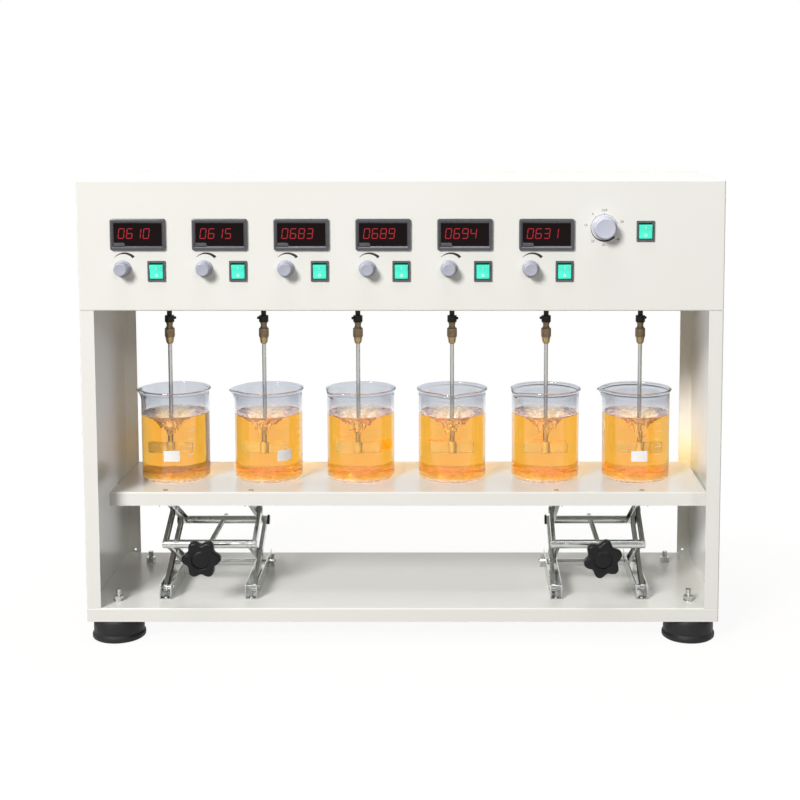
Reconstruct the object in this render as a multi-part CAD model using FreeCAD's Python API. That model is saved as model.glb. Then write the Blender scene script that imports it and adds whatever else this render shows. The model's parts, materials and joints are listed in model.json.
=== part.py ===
import FreeCAD, Part
import math
import os

# Jar tester: a folded steel frame with six stirrers over a shelf that two scissor jacks carry.
# Millimetres. X runs to the right, Y to the back, Z up; the origin is on the floor, under the middle.

# Frame
frame_width = 950.0
frame_depth = 280.0
frame_height = 665.0
header_height = 193.0
base_height = 21.0
column_flange = 21.5
flange_hole_radius = 1.9
flange_hole_from_side = 12.6
flange_hole_rise = 5.4
sheet = 1.5
bend_radius = 2.2
panel_return = 12.0
deck_flange = 12.0
sheet_gap = 0.2

# Feet and the studs that hold them
foot_height = 34.0
foot_lip_radius = 40.0
foot_body_radius = 38.0
foot_lip_height = 9.0
foot_boss_radius = 18.0
foot_edge = 2.0
foot_from_front = 36.0
foot_from_back = 52.0
rear_foot_inset = 9.5
stud_radius = 4.0
stud_rise = 18.0
stud_nut_width = 13.0
stud_nut_height = 6.5
stud_washer_radius = 8.0
stud_washer_height = 1.6

# Shelf
shelf_from_ends = 20.0
shelf_depth = 196.0
shelf_from_front = 45.0
shelf_shift = 7.4
shelf_flange = 21.0

# Scissor jacks
jack_from_end = 176.0
jack_half_width = 74.5
jack_arm_length = 151.5
jack_rest_angle = 26.863
jack_low_angle = 8.0
jack_high_angle = 31.2
jack_pivot_from_front = 62.0
rail_width = 18.2
rail_from_front = 40.0
rail_length = 184.0
rail_height = 23.0
rail_pivot_height = 12.0
top_rail_height = 22.0
top_rail_pivot_drop = 15.9
arm_width = 6.0
arm_half_depth = 6.5
arm_wall = 1.2
arm_gap = 0.4
pin_radius = 3.0
pin_shoulder_radius = 4.5
pin_head_radius = 4.6
pin_head = 1.1
slide_rod_radius = 2.5
slide_play = 0.2
tube_radius = 6.7
rear_shaft_radius = 6.5
end_cap_radius = 7.8
end_cap_length = 3.0
jack_screw_radius = 4.0
jack_screw_tail = 12.0
screw_collar_radius = 6.5
screw_collar_length = 4.0
star_knob_radius = 29.3
star_knob_lobes = 6
star_knob_lobe_radius = 9.5
star_knob_lobe_spread = 58.0
star_knob_valley_radius = 23.4
star_knob_thickness = 15.0
star_knob_hub_radius = 10.5
star_knob_hub_length = 8.0
star_knob_recess_radius = 14.0
star_knob_recess = 2.0
star_knob_proud = 20.5
star_knob_turns = [0.0, 17.0]
wing_nut_radius = 5.5
wing_nut_length = 7.0
wing_nut_taper = 1.5
wing_span = 22.0
wing_thickness = 2.2
wing_lean = 1.0
wing_width = 6.5
wing_rod_tail = 2.5
fixing_screw_radius = 2.0
fixing_head_radius = 4.0
fixing_head = 1.4
fixing_from_end = 7.0

# Control panel
meter_count = 6
meter_pitch = 119.8
meter_first_x = -385.8
meter_height = 585.0
bezel_width = 81.0
bezel_high = 46.6
bezel_proud = 4.0
bezel_radius = 3.0
meter_body_width = 75.0
meter_body_high = 41.0
meter_body_depth = 60.0
window_width = 70.4
window_high = 33.6
window_recess = 1.8
window_plate = 1.2
window_tab_width = 16.5
window_tab_high = 5.0
cutout_gap = 0.3

knob_from_meter = -23.5
knob_height = 535.0
speed_knob_base_radius = 12.4
speed_knob_cap_radius = 10.8
speed_knob_proud = 20.0
speed_knob_skirt = 3.0
knob_panel_gap = 0.8
knob_edge = 0.9
pot_radius = 12.0
pot_depth = 12.0
pot_bush_radius = 4.7
pot_nut_width = 11.0
pot_nut_height = 2.0
pot_bush_length = 8.0
spindle_radius = 3.0
spindle_reach = 6.0
spindle_in_knob = 8.0

timer_x = 297.6
timer_height = 595.0
timer_knob_base_radius = 17.8
timer_knob_cap_radius = 15.2
timer_knob_proud = 21.0
timer_body_side = 42.0
timer_body_depth = 36.0

switch_from_meter = 26.5
switch_height = 531.0
power_switch_x = 358.0
power_switch_height = 590.0
switch_frame_width = 26.4
switch_frame_high = 30.5
switch_frame_proud = 2.4
switch_body_depth = 20.0
switch_wall = 3.0
switch_floor = 3.0
rocker_width = 19.0
rocker_radius = 11.2
rocker_gap = 0.35
rocker_pivot_behind = 0.6
rocker_valley = 2.4
rocker_slope = 9.0
rocker_pin_radius = 1.5
rocker_pin_length = 1.5
rocker_back = 7.0

# Stirrers
stirrer_count = 6
stirrer_pitch = 147.5
stirrer_from_front = 135.0
motor_radius = 30.0
motor_length = 92.0
motor_flange = 66.0
motor_flange_thick = 5.0
motor_screw_spacing = 52.0
motor_boss_radius = 11.0
motor_boss_gap = 0.4
shaft_radius = 4.0
shaft_in_motor = 34.0
shaft_below_header = 36.0
collar_radius = 7.4
collar_length = 10.5
collar_screw_radius = 2.2
collar_screw_reach = 10.2
collar_screw_from_top = 4.0
collar_screw_turns = [12.0, 180.0, 205.0, 335.0, 180.0, 20.0]
chuck_neck_radius = 5.6
chuck_neck_length = 9.0
chuck_sleeve_radius = 7.8
chuck_sleeve_length = 14.5
chuck_nose_length = 10.5
chuck_nose_radius = 4.6
chuck_edge = 1.0
stirrer_rod_radius = 3.25
rod_in_chuck = 22.0
paddle_above_shelf = 42.0
paddle_width = 56.0
paddle_high = 18.0
paddle_thick = 2.0
paddle_hub_radius = 5.5

# Beakers
beaker_radius = 53.0
beaker_height = 143.0
beaker_wall = 1.9
beaker_floor = 3.0
beaker_heel = 7.0
beaker_rim_flare = 2.6
beaker_rim_high = 4.0
beaker_spout_radius = 9.0
beaker_spout_reach = 6.5
beaker_spout_drop = 17.0
beaker_spout_foot = 3.5
beaker_spout_sink = 1.0
beaker_behind_rod = 9.0
beaker_shift = [5.0, 4.6, 3.0, 0.0, 0.0, -4.3]
beaker_spout_angle = [180.0, 186.0, 222.0, 268.0, 214.0, 178.0]

# Inside and behind the header
board_width = 66.0
board_from_motor = 20.3
board_thick = 1.6
board_from_back = 14.0
standoff_radius = 3.0
standoff_height = 8.0
heat_sink_width = 40.0
heat_sink_high = 24.0
heat_sink_thick = 10.0
transformer_width = 58.0
transformer_depth = 48.0
transformer_high = 50.0
coil_width = 40.0
coil_depth = 64.0
coil_high = 34.0
vent_count = 9
vent_pitch = 9.0
vent_length = 60.0
vent_width = 3.6
vent_from_middle = 250.0
inlet_x = -380.0
inlet_above_boards = 21.4
inlet_width = 27.4
inlet_high = 20.0
inlet_body_depth = 26.0
inlet_flange_width = 50.0
inlet_flange_high = 24.0
inlet_proud = 3.0
inlet_socket_width = 24.0
inlet_socket_high = 16.6
inlet_socket_depth = 18.0
inlet_pin_length = 12.0
inlet_pin_width = 2.0
inlet_pin_high = 4.0
inlet_pin_pitch = 7.0
inlet_screw_spacing = 40.0
inlet_screw_head_radius = 3.0

# Fits
running_fit = 0.05
side_play = 0.2
through = 10.0
past = 1.0
touching = 0.01

# Levels and planes that the sizes above give
front = -(frame_depth + inlet_proud - timer_knob_proud) / 2
back = front + frame_depth
frame_bottom = foot_height
base_top = frame_bottom + base_height
frame_top = frame_bottom + frame_height
header_bottom = frame_top - header_height
half_width = frame_width / 2
jack_spacing = frame_width - 2 * jack_from_end

rest_rise = jack_arm_length * math.sin(math.radians(jack_rest_angle))
rest_run = jack_arm_length * math.cos(math.radians(jack_rest_angle))
longest_run = jack_arm_length * math.cos(math.radians(jack_low_angle))
shortest_run = jack_arm_length * math.cos(math.radians(jack_high_angle))
pivot_y = front + jack_pivot_from_front
base_pivot_z = base_top + rail_pivot_height
middle_pivot_z = base_pivot_z + rest_rise
top_pivot_z = middle_pivot_z + rest_rise
shelf_under = top_pivot_z + top_rail_pivot_drop
shelf_top = shelf_under + sheet
shelf_left = shelf_shift - half_width + shelf_from_ends
shelf_right = shelf_shift + half_width - shelf_from_ends
shelf_front = front + shelf_from_front
shelf_back = shelf_front + shelf_depth

# Across one side of a jack, from its middle outwards
rail_outer = jack_half_width
rail_inner = jack_half_width - rail_width
outer_arm_out = rail_outer - sheet - pin_head - 1.5 * side_play
outer_arm_in = outer_arm_out - arm_width
inner_arm_out = outer_arm_in - arm_gap
inner_arm_in = inner_arm_out - arm_width
tube_end = inner_arm_in - arm_gap

stirrer_y = front + stirrer_from_front
stirrer_xs = [(k - (stirrer_count - 1) / 2) * stirrer_pitch for k in range(stirrer_count)]
meter_xs = [meter_first_x + k * meter_pitch for k in range(meter_count)]
switch_places = [(x + switch_from_meter, frame_bottom + switch_height) for x in meter_xs]
switch_places.append((power_switch_x, frame_bottom + power_switch_height))
front_foot_x = half_width - foot_lip_radius
foot_places = []
for side in (-1, 1):
    foot_places.append((side * front_foot_x, front + foot_from_front))
    foot_places.append((side * (front_foot_x - rear_foot_inset), back - foot_from_back))

os.makedirs("parts", exist_ok=True)


def at(x, y, z):
    return FreeCAD.Vector(x, y, z)


def save(name, solids):
    whole = []
    for shape in solids:
        whole.extend(shape.Solids)
    shape = whole[0] if len(whole) == 1 else Part.makeCompound(whole)
    shape.exportStep(f"parts/{name}.step")
    print(name, len(whole), "solids")


def block(x0, x1, y0, y1, z0, z1):
    return Part.makeBox(x1 - x0, y1 - y0, z1 - z0, at(x0, y0, z0))


def rod(radius, start, end):
    along = end - start
    return Part.makeCylinder(radius, along.Length, start, along)


def rounded(shape, radius, pick):
    edges = [edge for edge in shape.Edges if pick(edge.CenterOfMass)]
    return shape.makeFillet(radius, edges)


def turned(outline, place, axis):
    """Turns (radius, distance) points round a line through place."""
    points = [at(radius, 0, along) for radius, along in outline]
    points.append(points[0])
    shape = Part.Face(Part.makePolygon(points)).revolve(at(0, 0, 0), at(0, 0, 1), 360)
    shape.rotate(at(0, 0, 0), FreeCAD.Rotation(at(0, 0, 1), axis).Axis,
                 math.degrees(FreeCAD.Rotation(at(0, 0, 1), axis).Angle))
    shape.translate(place)
    return shape


def plate_of(points, along):
    """A flat outline, pulled along a direction."""
    closed = list(points) + [points[0]]
    return Part.Face(Part.makePolygon(closed)).extrude(along)


def mirrored(shape):
    return shape.mirror(at(0, 0, 0), at(1, 0, 0))


def moved(shape, x, y=0.0, z=0.0):
    copy = shape.copy()
    copy.translate(at(x, y, z))
    return copy


def hexagon(width, height, centre):
    """A nut standing on its face, with its across-flats width."""
    radius = width / math.sqrt(3)
    points = [
        centre + at(radius * math.cos(math.radians(60 * k)), radius * math.sin(math.radians(60 * k)), 0)
        for k in range(6)
    ]
    return plate_of(points, at(0, 0, height))


def tray(x0, x1, y0, y1, z0, z1, openings):
    """A folded sheet box. openings names the sides that are left open."""
    outer = block(x0, x1, y0, y1, z0, z1)
    limits = {"left": x0, "right": x1, "front": y0, "back": y1, "bottom": z0, "top": z1}
    axis_of = {"left": 0, "right": 0, "front": 1, "back": 1, "bottom": 2, "top": 2}

    def on_closed_sides(point, grow):
        value = (point.x, point.y, point.z)
        return not any(abs(value[axis_of[side]] - limits[side]) < grow + touching for side in openings)

    inside = {}
    for side, value in limits.items():
        inward = 1 if side in ("left", "front", "bottom") else -1
        inside[side] = value - inward * through if side in openings else value + inward * sheet
    inner = block(inside["left"], inside["right"], inside["front"], inside["back"],
                  inside["bottom"], inside["top"])
    outer = rounded(outer, bend_radius, lambda point: on_closed_sides(point, 0.0))
    inner = rounded(inner, bend_radius - sheet, lambda point: on_closed_sides(point, through))
    return outer.cut(inner)


# Base pan, with the holes of the feet's studs
def base_pan():
    pan = tray(-half_width, half_width, front, back, frame_bottom, base_top, ["bottom"])
    for x, y in foot_places:
        pan = pan.cut(rod(stud_radius, at(x, y, frame_bottom), at(x, y, base_top + through)))
    return pan


# A column is a channel, open towards the middle and at both ends, with a hole low in its rear flange
def column(side):
    left = tray(-half_width, column_flange - half_width, front, back, base_top, header_bottom,
                ["right", "bottom", "top"])
    hole = at(flange_hole_from_side - half_width, back + past, base_top + flange_hole_rise)
    left = left.cut(rod(flange_hole_radius, hole, hole - at(0, sheet + 2 * past, 0)))
    return left if side < 0 else mirrored(left)


def panel_holes():
    holes = []
    y0 = front - through
    y1 = front + sheet + through
    for x in meter_xs:
        z = frame_bottom + meter_height
        half = meter_body_width / 2 + cutout_gap
        high = meter_body_high / 2 + cutout_gap
        holes.append(block(x - half, x + half, y0, y1, z - high, z + high))
        knob = at(x + knob_from_meter, y0, frame_bottom + knob_height)
        holes.append(rod(pot_bush_radius, knob, knob + at(0, y1 - y0, 0)))
    for x, z in switch_places:
        half = rocker_width / 2 + rocker_gap + switch_wall + cutout_gap
        high = rocker_radius + rocker_gap + switch_wall + cutout_gap
        holes.append(block(x - half, x + half, y0, y1, z - high, z + high))
    timer = at(timer_x, y0, frame_bottom + timer_height)
    holes.append(rod(pot_bush_radius, timer, timer + at(0, y1 - y0, 0)))
    return holes


def control_panel():
    panel = tray(-half_width, half_width, front, front + panel_return, header_bottom, frame_top, ["back"])
    for hole in panel_holes():
        panel = panel.cut(hole)
    return panel


# The cover is the header's top, back and ends
def header_cover():
    cover = tray(-half_width, half_width, front + panel_return, back, header_bottom, frame_top,
                 ["front", "bottom"])
    middle = header_bottom + header_height / 2
    for side in (-1, 1):
        for row in range(vent_count):
            z = middle + (row - (vent_count - 1) / 2) * vent_pitch
            x = side * vent_from_middle
            slot = block(x - vent_length / 2, x + vent_length / 2, back - sheet - through, back + through,
                         z - vent_width / 2, z + vent_width / 2)
            cover = cover.cut(slot)
    x0 = inlet_x - inlet_width / 2 - cutout_gap
    x1 = inlet_x + inlet_width / 2 + cutout_gap
    z0 = inlet_z - inlet_high / 2 - cutout_gap
    z1 = inlet_z + inlet_high / 2 + cutout_gap
    cover = cover.cut(block(x0, x1, back - sheet - through, back + through, z0, z1))
    for side in (-1, 1):
        x = inlet_x + side * inlet_screw_spacing / 2
        hole = rod(fixing_screw_radius, at(x, back - through, inlet_z), at(x, back + through, inlet_z))
        cover = cover.cut(hole)
    return cover


deck_under = header_bottom + sheet
deck_top = deck_under + sheet

# Between the motors and the back stand the speed boards, with the power inlet above them
board_front = stirrer_y + motor_flange / 2 + board_from_motor
board_back = back - sheet - sheet_gap - board_from_back
board_under = deck_top + standoff_height
heat_sink_top = board_under + board_thick + heat_sink_high
inlet_z = heat_sink_top + inlet_above_boards + inlet_high / 2


def motor_screw_places(x):
    half = motor_screw_spacing / 2
    return [(x + sx * half, stirrer_y + sy * half) for sx in (-1, 1) for sy in (-1, 1)]


def motor_deck():
    edge = half_width - sheet - sheet_gap
    deck = tray(-edge, edge, front + sheet + sheet_gap, back - sheet - sheet_gap,
                deck_under, deck_under + deck_flange, ["top"])
    for x in stirrer_xs:
        hole = rod(motor_boss_radius + motor_boss_gap, at(x, stirrer_y, deck_under - through),
                   at(x, stirrer_y, deck_top + past))
        deck = deck.cut(hole)
        for sx, sy in motor_screw_places(x):
            low = at(sx, sy, deck_under - past)
            deck = deck.cut(rod(fixing_screw_radius, low, at(sx, sy, deck_top + past)))
    return deck


# Each motor has a flange on the deck, a boss through it and a bore for its shaft
def motor(x):
    half = motor_flange / 2
    flange_top = deck_top + motor_flange_thick
    body = block(x - half, x + half, stirrer_y - half, stirrer_y + half, deck_top, flange_top)
    can_top = flange_top + motor_length
    body = body.fuse(rod(motor_radius, at(x, stirrer_y, flange_top), at(x, stirrer_y, can_top)))
    body = body.fuse(rod(motor_boss_radius, at(x, stirrer_y, deck_under), at(x, stirrer_y, deck_top)))
    bore_top = flange_top + shaft_in_motor + side_play
    bore_start = at(x, stirrer_y, deck_under - past)
    body = body.cut(rod(shaft_radius + running_fit, bore_start, at(x, stirrer_y, bore_top)))
    screws = []
    for sx, sy in motor_screw_places(x):
        shank = rod(fixing_screw_radius, at(sx, sy, deck_under), at(sx, sy, flange_top))
        head = rod(fixing_head_radius, at(sx, sy, deck_under - fixing_head), at(sx, sy, deck_under))
        body = body.cut(shank)
        screws.append(shank.fuse(head))
    return [body] + screws


# Speed control boards stand on the deck behind the motors
def speed_board(x):
    board_top = board_under + board_thick
    board = block(x - board_width / 2, x + board_width / 2, board_front, board_back, board_under, board_top)
    pieces = [board]
    for sx in (-1, 1):
        for y in (board_front + 2 * standoff_radius, board_back - 2 * standoff_radius):
            px = x + sx * (board_width / 2 - 2 * standoff_radius)
            pieces.append(rod(standoff_radius, at(px, y, deck_top), at(px, y, board_under)))
    sink_y = board_back - heat_sink_thick - 4 * standoff_radius
    pieces.append(block(x - heat_sink_width / 2, x + heat_sink_width / 2, sink_y, sink_y + heat_sink_thick,
                        board_top, heat_sink_top))
    return pieces


# The transformer stands on the deck, with its winding through the core
def power_supply():
    y = (board_front + board_back) / 2
    core = block(-transformer_width / 2, transformer_width / 2, y - transformer_depth / 2,
                 y + transformer_depth / 2, deck_top, deck_top + transformer_high)
    z0 = deck_top + (transformer_high - coil_high) / 2
    coil = block(-coil_width / 2, coil_width / 2, y - coil_depth / 2, y + coil_depth / 2, z0, z0 + coil_high)
    return [core.cut(coil), coil]


def meter_case(x):
    z = frame_bottom + meter_height
    bezel = block(x - bezel_width / 2, x + bezel_width / 2, front - bezel_proud, front, z - bezel_high / 2,
                  z + bezel_high / 2)
    bezel = rounded(bezel, bezel_radius, lambda p: abs(p.x - x) > bezel_width / 2 - touching
                    and abs(abs(p.z - z) - bezel_high / 2) < touching)
    left = x - window_width / 2
    low = z - window_high / 2
    start = front - bezel_proud - past
    floor = front - bezel_proud + window_recess
    recess = block(left, left + window_width, start, floor + window_plate, low, low + window_high)
    tab = block(left, left + window_tab_width, start, floor, low, low + window_tab_high)
    body = block(x - meter_body_width / 2, x + meter_body_width / 2, front, front + meter_body_depth,
                 z - meter_body_high / 2, z + meter_body_high / 2)
    return bezel.fuse(body).cut(recess.cut(tab))


def meter_window(x):
    z = frame_bottom + meter_height
    y0 = front - bezel_proud + window_recess
    return block(x - window_width / 2, x + window_width / 2, y0, y0 + window_plate, z - window_high / 2,
                 z + window_high / 2)


# Rockers turn about a level line just behind the face of their frames
rocker_pivot_y = front - switch_frame_proud + rocker_pivot_behind


def switch_frame(x, z):
    half = switch_frame_width / 2
    high = switch_frame_high / 2
    bezel = block(x - half, x + half, front - switch_frame_proud, front, z - high, z + high)
    side = rocker_width / 2 + rocker_gap
    tall = rocker_radius + rocker_gap
    body = block(x - side - switch_wall, x + side + switch_wall, front, front + switch_body_depth,
                 z - tall - switch_wall, z + tall + switch_wall)
    well = block(x - side, x + side, front - switch_frame_proud - past,
                 front + switch_body_depth - switch_floor, z - tall, z + tall)
    pins = rod(rocker_pin_radius + running_fit, at(x - side - rocker_pin_length, rocker_pivot_y, z),
               at(x + side + rocker_pin_length, rocker_pivot_y, z))
    return bezel.fuse(body).cut(well).cut(pins)


def rocker(x, z):
    slope = math.tan(math.radians(rocker_slope))
    reach = rocker_radius * 2
    outline = [
        (rocker_valley, 0.0),
        (rocker_valley + slope * reach, reach),
        (-rocker_back, reach),
        (-rocker_back, -reach),
        (rocker_valley + slope * reach, -reach),
    ]
    left = x - rocker_width / 2
    points = [at(left, rocker_pivot_y - out, z + up) for out, up in outline]
    wedge = plate_of(points, at(rocker_width, 0, 0))
    drum = rod(rocker_radius, at(left, rocker_pivot_y, z), at(left + rocker_width, rocker_pivot_y, z))
    reach_x = rocker_width / 2 + rocker_gap + rocker_pin_length - side_play
    pins = rod(rocker_pin_radius, at(x - reach_x, rocker_pivot_y, z), at(x + reach_x, rocker_pivot_y, z))
    body = wedge.common(drum).fuse(pins)
    body.rotate(at(x, rocker_pivot_y, z), at(1, 0, 0), rocker_slope)
    return body


# A potentiometer behind the panel, with its bush and nut through it
def bush_and_nut(x, z):
    bush = rod(pot_bush_radius, at(x, front - pot_bush_length + sheet, z), at(x, front + sheet, z))
    nut = hexagon(pot_nut_width, pot_nut_height, at(0, 0, 0))
    nut.rotate(at(0, 0, 0), at(1, 0, 0), 90)
    nut.translate(at(x, front, z))
    bore_start = at(x, front - pot_bush_length, z)
    return bush, nut.cut(bush), bore_start


def potentiometer(x, z):
    bush, nut, bore_start = bush_and_nut(x, z)
    body = rod(pot_radius, at(x, front + sheet, z), at(x, front + sheet + pot_depth, z)).fuse(bush)
    bore = rod(spindle_radius + running_fit, bore_start, at(x, front + sheet + spindle_reach, z))
    return [body.cut(bore), nut]


def timer_mechanism():
    x = timer_x
    z = frame_bottom + timer_height
    half = timer_body_side / 2
    bush, nut, bore_start = bush_and_nut(x, z)
    body = block(x - half, x + half, front + sheet, front + sheet + timer_body_depth, z - half, z + half)
    bore = rod(spindle_radius + running_fit, bore_start, at(x, front + sheet + spindle_reach, z))
    return [body.fuse(bush).cut(bore), nut]


# A knob is a tapered cap over the bush and nut, pressed on the spindle that turns in the bush
def knob(x, z, base_radius, cap_radius, proud):
    hollow = pot_nut_width / math.sqrt(3) + cutout_gap
    hollow_depth = pot_bush_length - sheet + cutout_gap
    rear = proud - knob_panel_gap
    skirt = rear - speed_knob_skirt
    outline = [
        (0.0, 0.0),
        (cap_radius - knob_edge, 0.0),
        (cap_radius, knob_edge),
        (base_radius - knob_edge, skirt),
        (base_radius, skirt + knob_edge),
        (base_radius, rear),
        (hollow, rear),
        (hollow, proud - hollow_depth),
        (0.0, proud - hollow_depth),
    ]
    cap = turned(outline, at(x, front - proud, z), at(0, 1, 0))
    spindle = rod(spindle_radius, at(x, front - hollow_depth - spindle_in_knob, z),
                  at(x, front + sheet + spindle_reach - side_play, z))
    return [cap.cut(spindle), spindle]


# Power inlet: flange outside the cover, body inside, three blades in the socket
def power_inlet():
    x = inlet_x
    z = inlet_z
    flange = block(x - inlet_flange_width / 2, x + inlet_flange_width / 2, back, back + inlet_proud,
                   z - inlet_flange_high / 2, z + inlet_flange_high / 2)
    body = block(x - inlet_width / 2, x + inlet_width / 2, back - inlet_body_depth, back, z - inlet_high / 2,
                 z + inlet_high / 2)
    face = back + inlet_proud
    floor = face - inlet_socket_depth
    socket = block(x - inlet_socket_width / 2, x + inlet_socket_width / 2, floor, face + past,
                   z - inlet_socket_high / 2, z + inlet_socket_high / 2)
    shell = flange.fuse(body).cut(socket)
    pieces = []
    for side in (-1, 0, 1):
        px = x + side * inlet_pin_pitch
        pz = z + (inlet_pin_high / 2 if side == 0 else -inlet_pin_high / 4)
        pieces.append(block(px - inlet_pin_width / 2, px + inlet_pin_width / 2,
                            floor, floor + inlet_pin_length,
                            pz - inlet_pin_high / 2, pz + inlet_pin_high / 2))
    for side in (-1, 1):
        px = x + side * inlet_screw_spacing / 2
        shank = rod(fixing_screw_radius, at(px, back - 2 * sheet, z), at(px, face, z))
        head = rod(inlet_screw_head_radius, at(px, face - fixing_head, z), at(px, face, z))
        screw = shank.fuse(head)
        shell = shell.cut(screw)
        pieces.append(screw)
    return [shell] + pieces


# Rubber cup feet; each stud runs from the cup up through the base pan
stud_low = frame_bottom / 3


def foot(x, y):
    outline = [
        (0.0, 0.0),
        (foot_lip_radius - foot_edge, 0.0),
        (foot_lip_radius, foot_edge),
        (foot_lip_radius, foot_lip_height),
        (foot_body_radius, foot_lip_height + foot_edge),
        (foot_body_radius, foot_height - foot_edge),
        (foot_body_radius - foot_edge, foot_height),
        (foot_boss_radius, foot_height),
        (foot_boss_radius, base_top - sheet),
        (0.0, base_top - sheet),
    ]
    body = turned(outline, at(x, y, 0), at(0, 0, 1))
    return body.cut(rod(stud_radius, at(x, y, stud_low), at(x, y, base_top)))


def stud_set(x, y):
    stud = rod(stud_radius, at(x, y, stud_low), at(x, y, base_top + stud_rise))
    washer = rod(stud_washer_radius, at(x, y, base_top), at(x, y, base_top + stud_washer_height)).cut(stud)
    nut = hexagon(stud_nut_width, stud_nut_height, at(x, y, base_top + stud_washer_height)).cut(stud)
    return [stud, washer, nut]


# Shelf: a pan turned down all round, with the screws of the jacks' top rails
def rail_screw_places():
    places = []
    for jack in (-1, 1):
        for side in (-1, 1):
            x = jack * jack_spacing / 2 + side * (rail_outer + rail_inner) / 2
            for y in (front + rail_from_front + fixing_from_end,
                      front + rail_from_front + rail_length - fixing_from_end):
                places.append((x, y))
    return places


top_rail_start = shelf_from_front + bend_radius + sheet_gap


def top_screw_places():
    y0 = front + top_rail_start + fixing_from_end
    y1 = front + rail_from_front + rail_length - fixing_from_end
    return sorted({(x, y) for x, _ in rail_screw_places() for y in (y0, y1)})


def shelf():
    pan = tray(shelf_left, shelf_right, shelf_front, shelf_back,
               shelf_top - shelf_flange, shelf_top, ["bottom"])
    for x, y in top_screw_places():
        pan = pan.cut(rod(fixing_screw_radius, at(x, y, shelf_under - past), at(x, y, shelf_top + past)))
    return pan


# One rail of a jack, to the right of the jack's middle. Its webs hold the front pin and guide the rod
def rail(start, end, floor_z, height, pivot_height, shoulder_end, upwards):
    sign = 1 if upwards else -1
    edges = sorted((floor_z, floor_z + sign * height))
    inner_edges = sorted((floor_z + sign * sheet, floor_z + sign * (height + past)))
    channel = block(rail_inner, rail_outer, start, end, *edges)
    channel = channel.cut(block(rail_inner + sheet, rail_outer - sheet, start - past, end + past,
                                *inner_edges))
    pivot_z = floor_z + sign * pivot_height
    pin = rod(pin_radius, at(rail_inner - pin_head, pivot_y, pivot_z), at(rail_outer, pivot_y, pivot_z))
    for x in (rail_inner - pin_head, rail_outer):
        pin = pin.fuse(rod(pin_head_radius, at(x, pivot_y, pivot_z), at(x + pin_head, pivot_y, pivot_z)))
    pin = pin.fuse(rod(pin_shoulder_radius, at(rail_inner + sheet, pivot_y, pivot_z),
                       at(shoulder_end, pivot_y, pivot_z)))
    slot_radius = slide_rod_radius + slide_play
    y0 = pivot_y + shortest_run - slide_play
    y1 = pivot_y + longest_run + slide_play
    slot = block(rail_inner - past, rail_outer + past, y0, y1, pivot_z - slot_radius, pivot_z + slot_radius)
    for y in (y0, y1):
        inner = at(rail_inner - past, y, pivot_z)
        slot = slot.fuse(rod(slot_radius, inner, at(rail_outer + past, y, pivot_z)))
    return channel.cut(slot).cut(pin), pin


def both_sides(shapes, jack_x):
    result = []
    for shape in shapes:
        result.append(moved(shape, jack_x))
        result.append(moved(mirrored(shape), jack_x))
    return result


def fixing_screw(x, y, face, grip, upwards):
    sign = 1 if upwards else -1
    shank = rod(fixing_screw_radius, at(x, y, face - sign * grip), at(x, y, face))
    return shank.fuse(rod(fixing_head_radius, at(x, y, face), at(x, y, face + sign * fixing_head)))


def jack_base_rails():
    start = front + rail_from_front
    channel, pin = rail(start, start + rail_length, base_top, rail_height, rail_pivot_height,
                        outer_arm_out - arm_wall - side_play, True)
    solids = []
    for jack in (-1, 1):
        solids += both_sides([channel, pin], jack * jack_spacing / 2)
    screws = [fixing_screw(x, y, base_top + sheet, sheet, True) for x, y in rail_screw_places()]
    solids = [cut_by(shape, screws) for shape in solids]
    return solids + screws


def cut_by(shape, tools):
    box = shape.BoundBox
    near = [tool for tool in tools if tool.BoundBox.intersect(box)]
    return shape.cut(near) if near else shape


def jack_top_rails():
    start = front + top_rail_start
    end = front + rail_from_front + rail_length
    channel, pin = rail(start, end, shelf_under, top_rail_height, top_rail_pivot_drop,
                        inner_arm_out - arm_wall - side_play, False)
    solids = []
    for jack in (-1, 1):
        solids += both_sides([channel, pin], jack * jack_spacing / 2)
    screws = [fixing_screw(x, y, shelf_top, 2 * sheet, True) for x, y in top_screw_places()]
    solids = [cut_by(shape, screws) for shape in solids]
    return solids + screws


# An arm is a channel of pressed strip, open towards the jack's middle, with round ends.
# It is made level, from its first hole along Y, and then turned about that hole
def arm(inner, start, angle, holes):
    depth = arm_half_depth
    outline = block(inner, inner + arm_width, 0, jack_arm_length, -depth, depth)
    pocket_half = depth - arm_wall
    pocket = block(inner - past, inner + arm_width - arm_wall, 0, jack_arm_length, -pocket_half, pocket_half)
    for y in (0, jack_arm_length):
        outline = outline.fuse(rod(depth, at(inner, y, 0), at(inner + arm_width, y, 0)))
        pocket = pocket.fuse(rod(pocket_half, at(inner - past, y, 0), at(inner + arm_width - arm_wall, y, 0)))
    shape = outline.removeSplitter().cut(pocket.removeSplitter())
    for y, radius in zip((0, jack_arm_length / 2, jack_arm_length), holes):
        shape = shape.cut(rod(radius, at(inner - past, y, 0), at(inner + arm_width + past, y, 0)))
    shape.rotate(at(0, 0, 0), at(1, 0, 0), angle)
    shape.translate(at(0, start[0], start[1]))
    return shape


# The rivet where two arms cross: its head is tight on its own arm, and the other arm runs on it
def cross_rivet(own_is_outer, z):
    inner_face = inner_arm_out - arm_wall - (side_play if own_is_outer else 0)
    outer_face = outer_arm_out + (0 if own_is_outer else side_play)
    rivet = rod(pin_radius, at(inner_face, cross_y, z), at(outer_face, cross_y, z))
    inner_head = rod(pin_head_radius, at(inner_face - pin_head, cross_y, z), at(inner_face, cross_y, z))
    outer_head = rod(pin_head_radius, at(outer_face, cross_y, z), at(outer_face + pin_head, cross_y, z))
    return rivet.fuse([inner_head, outer_head])


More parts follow.
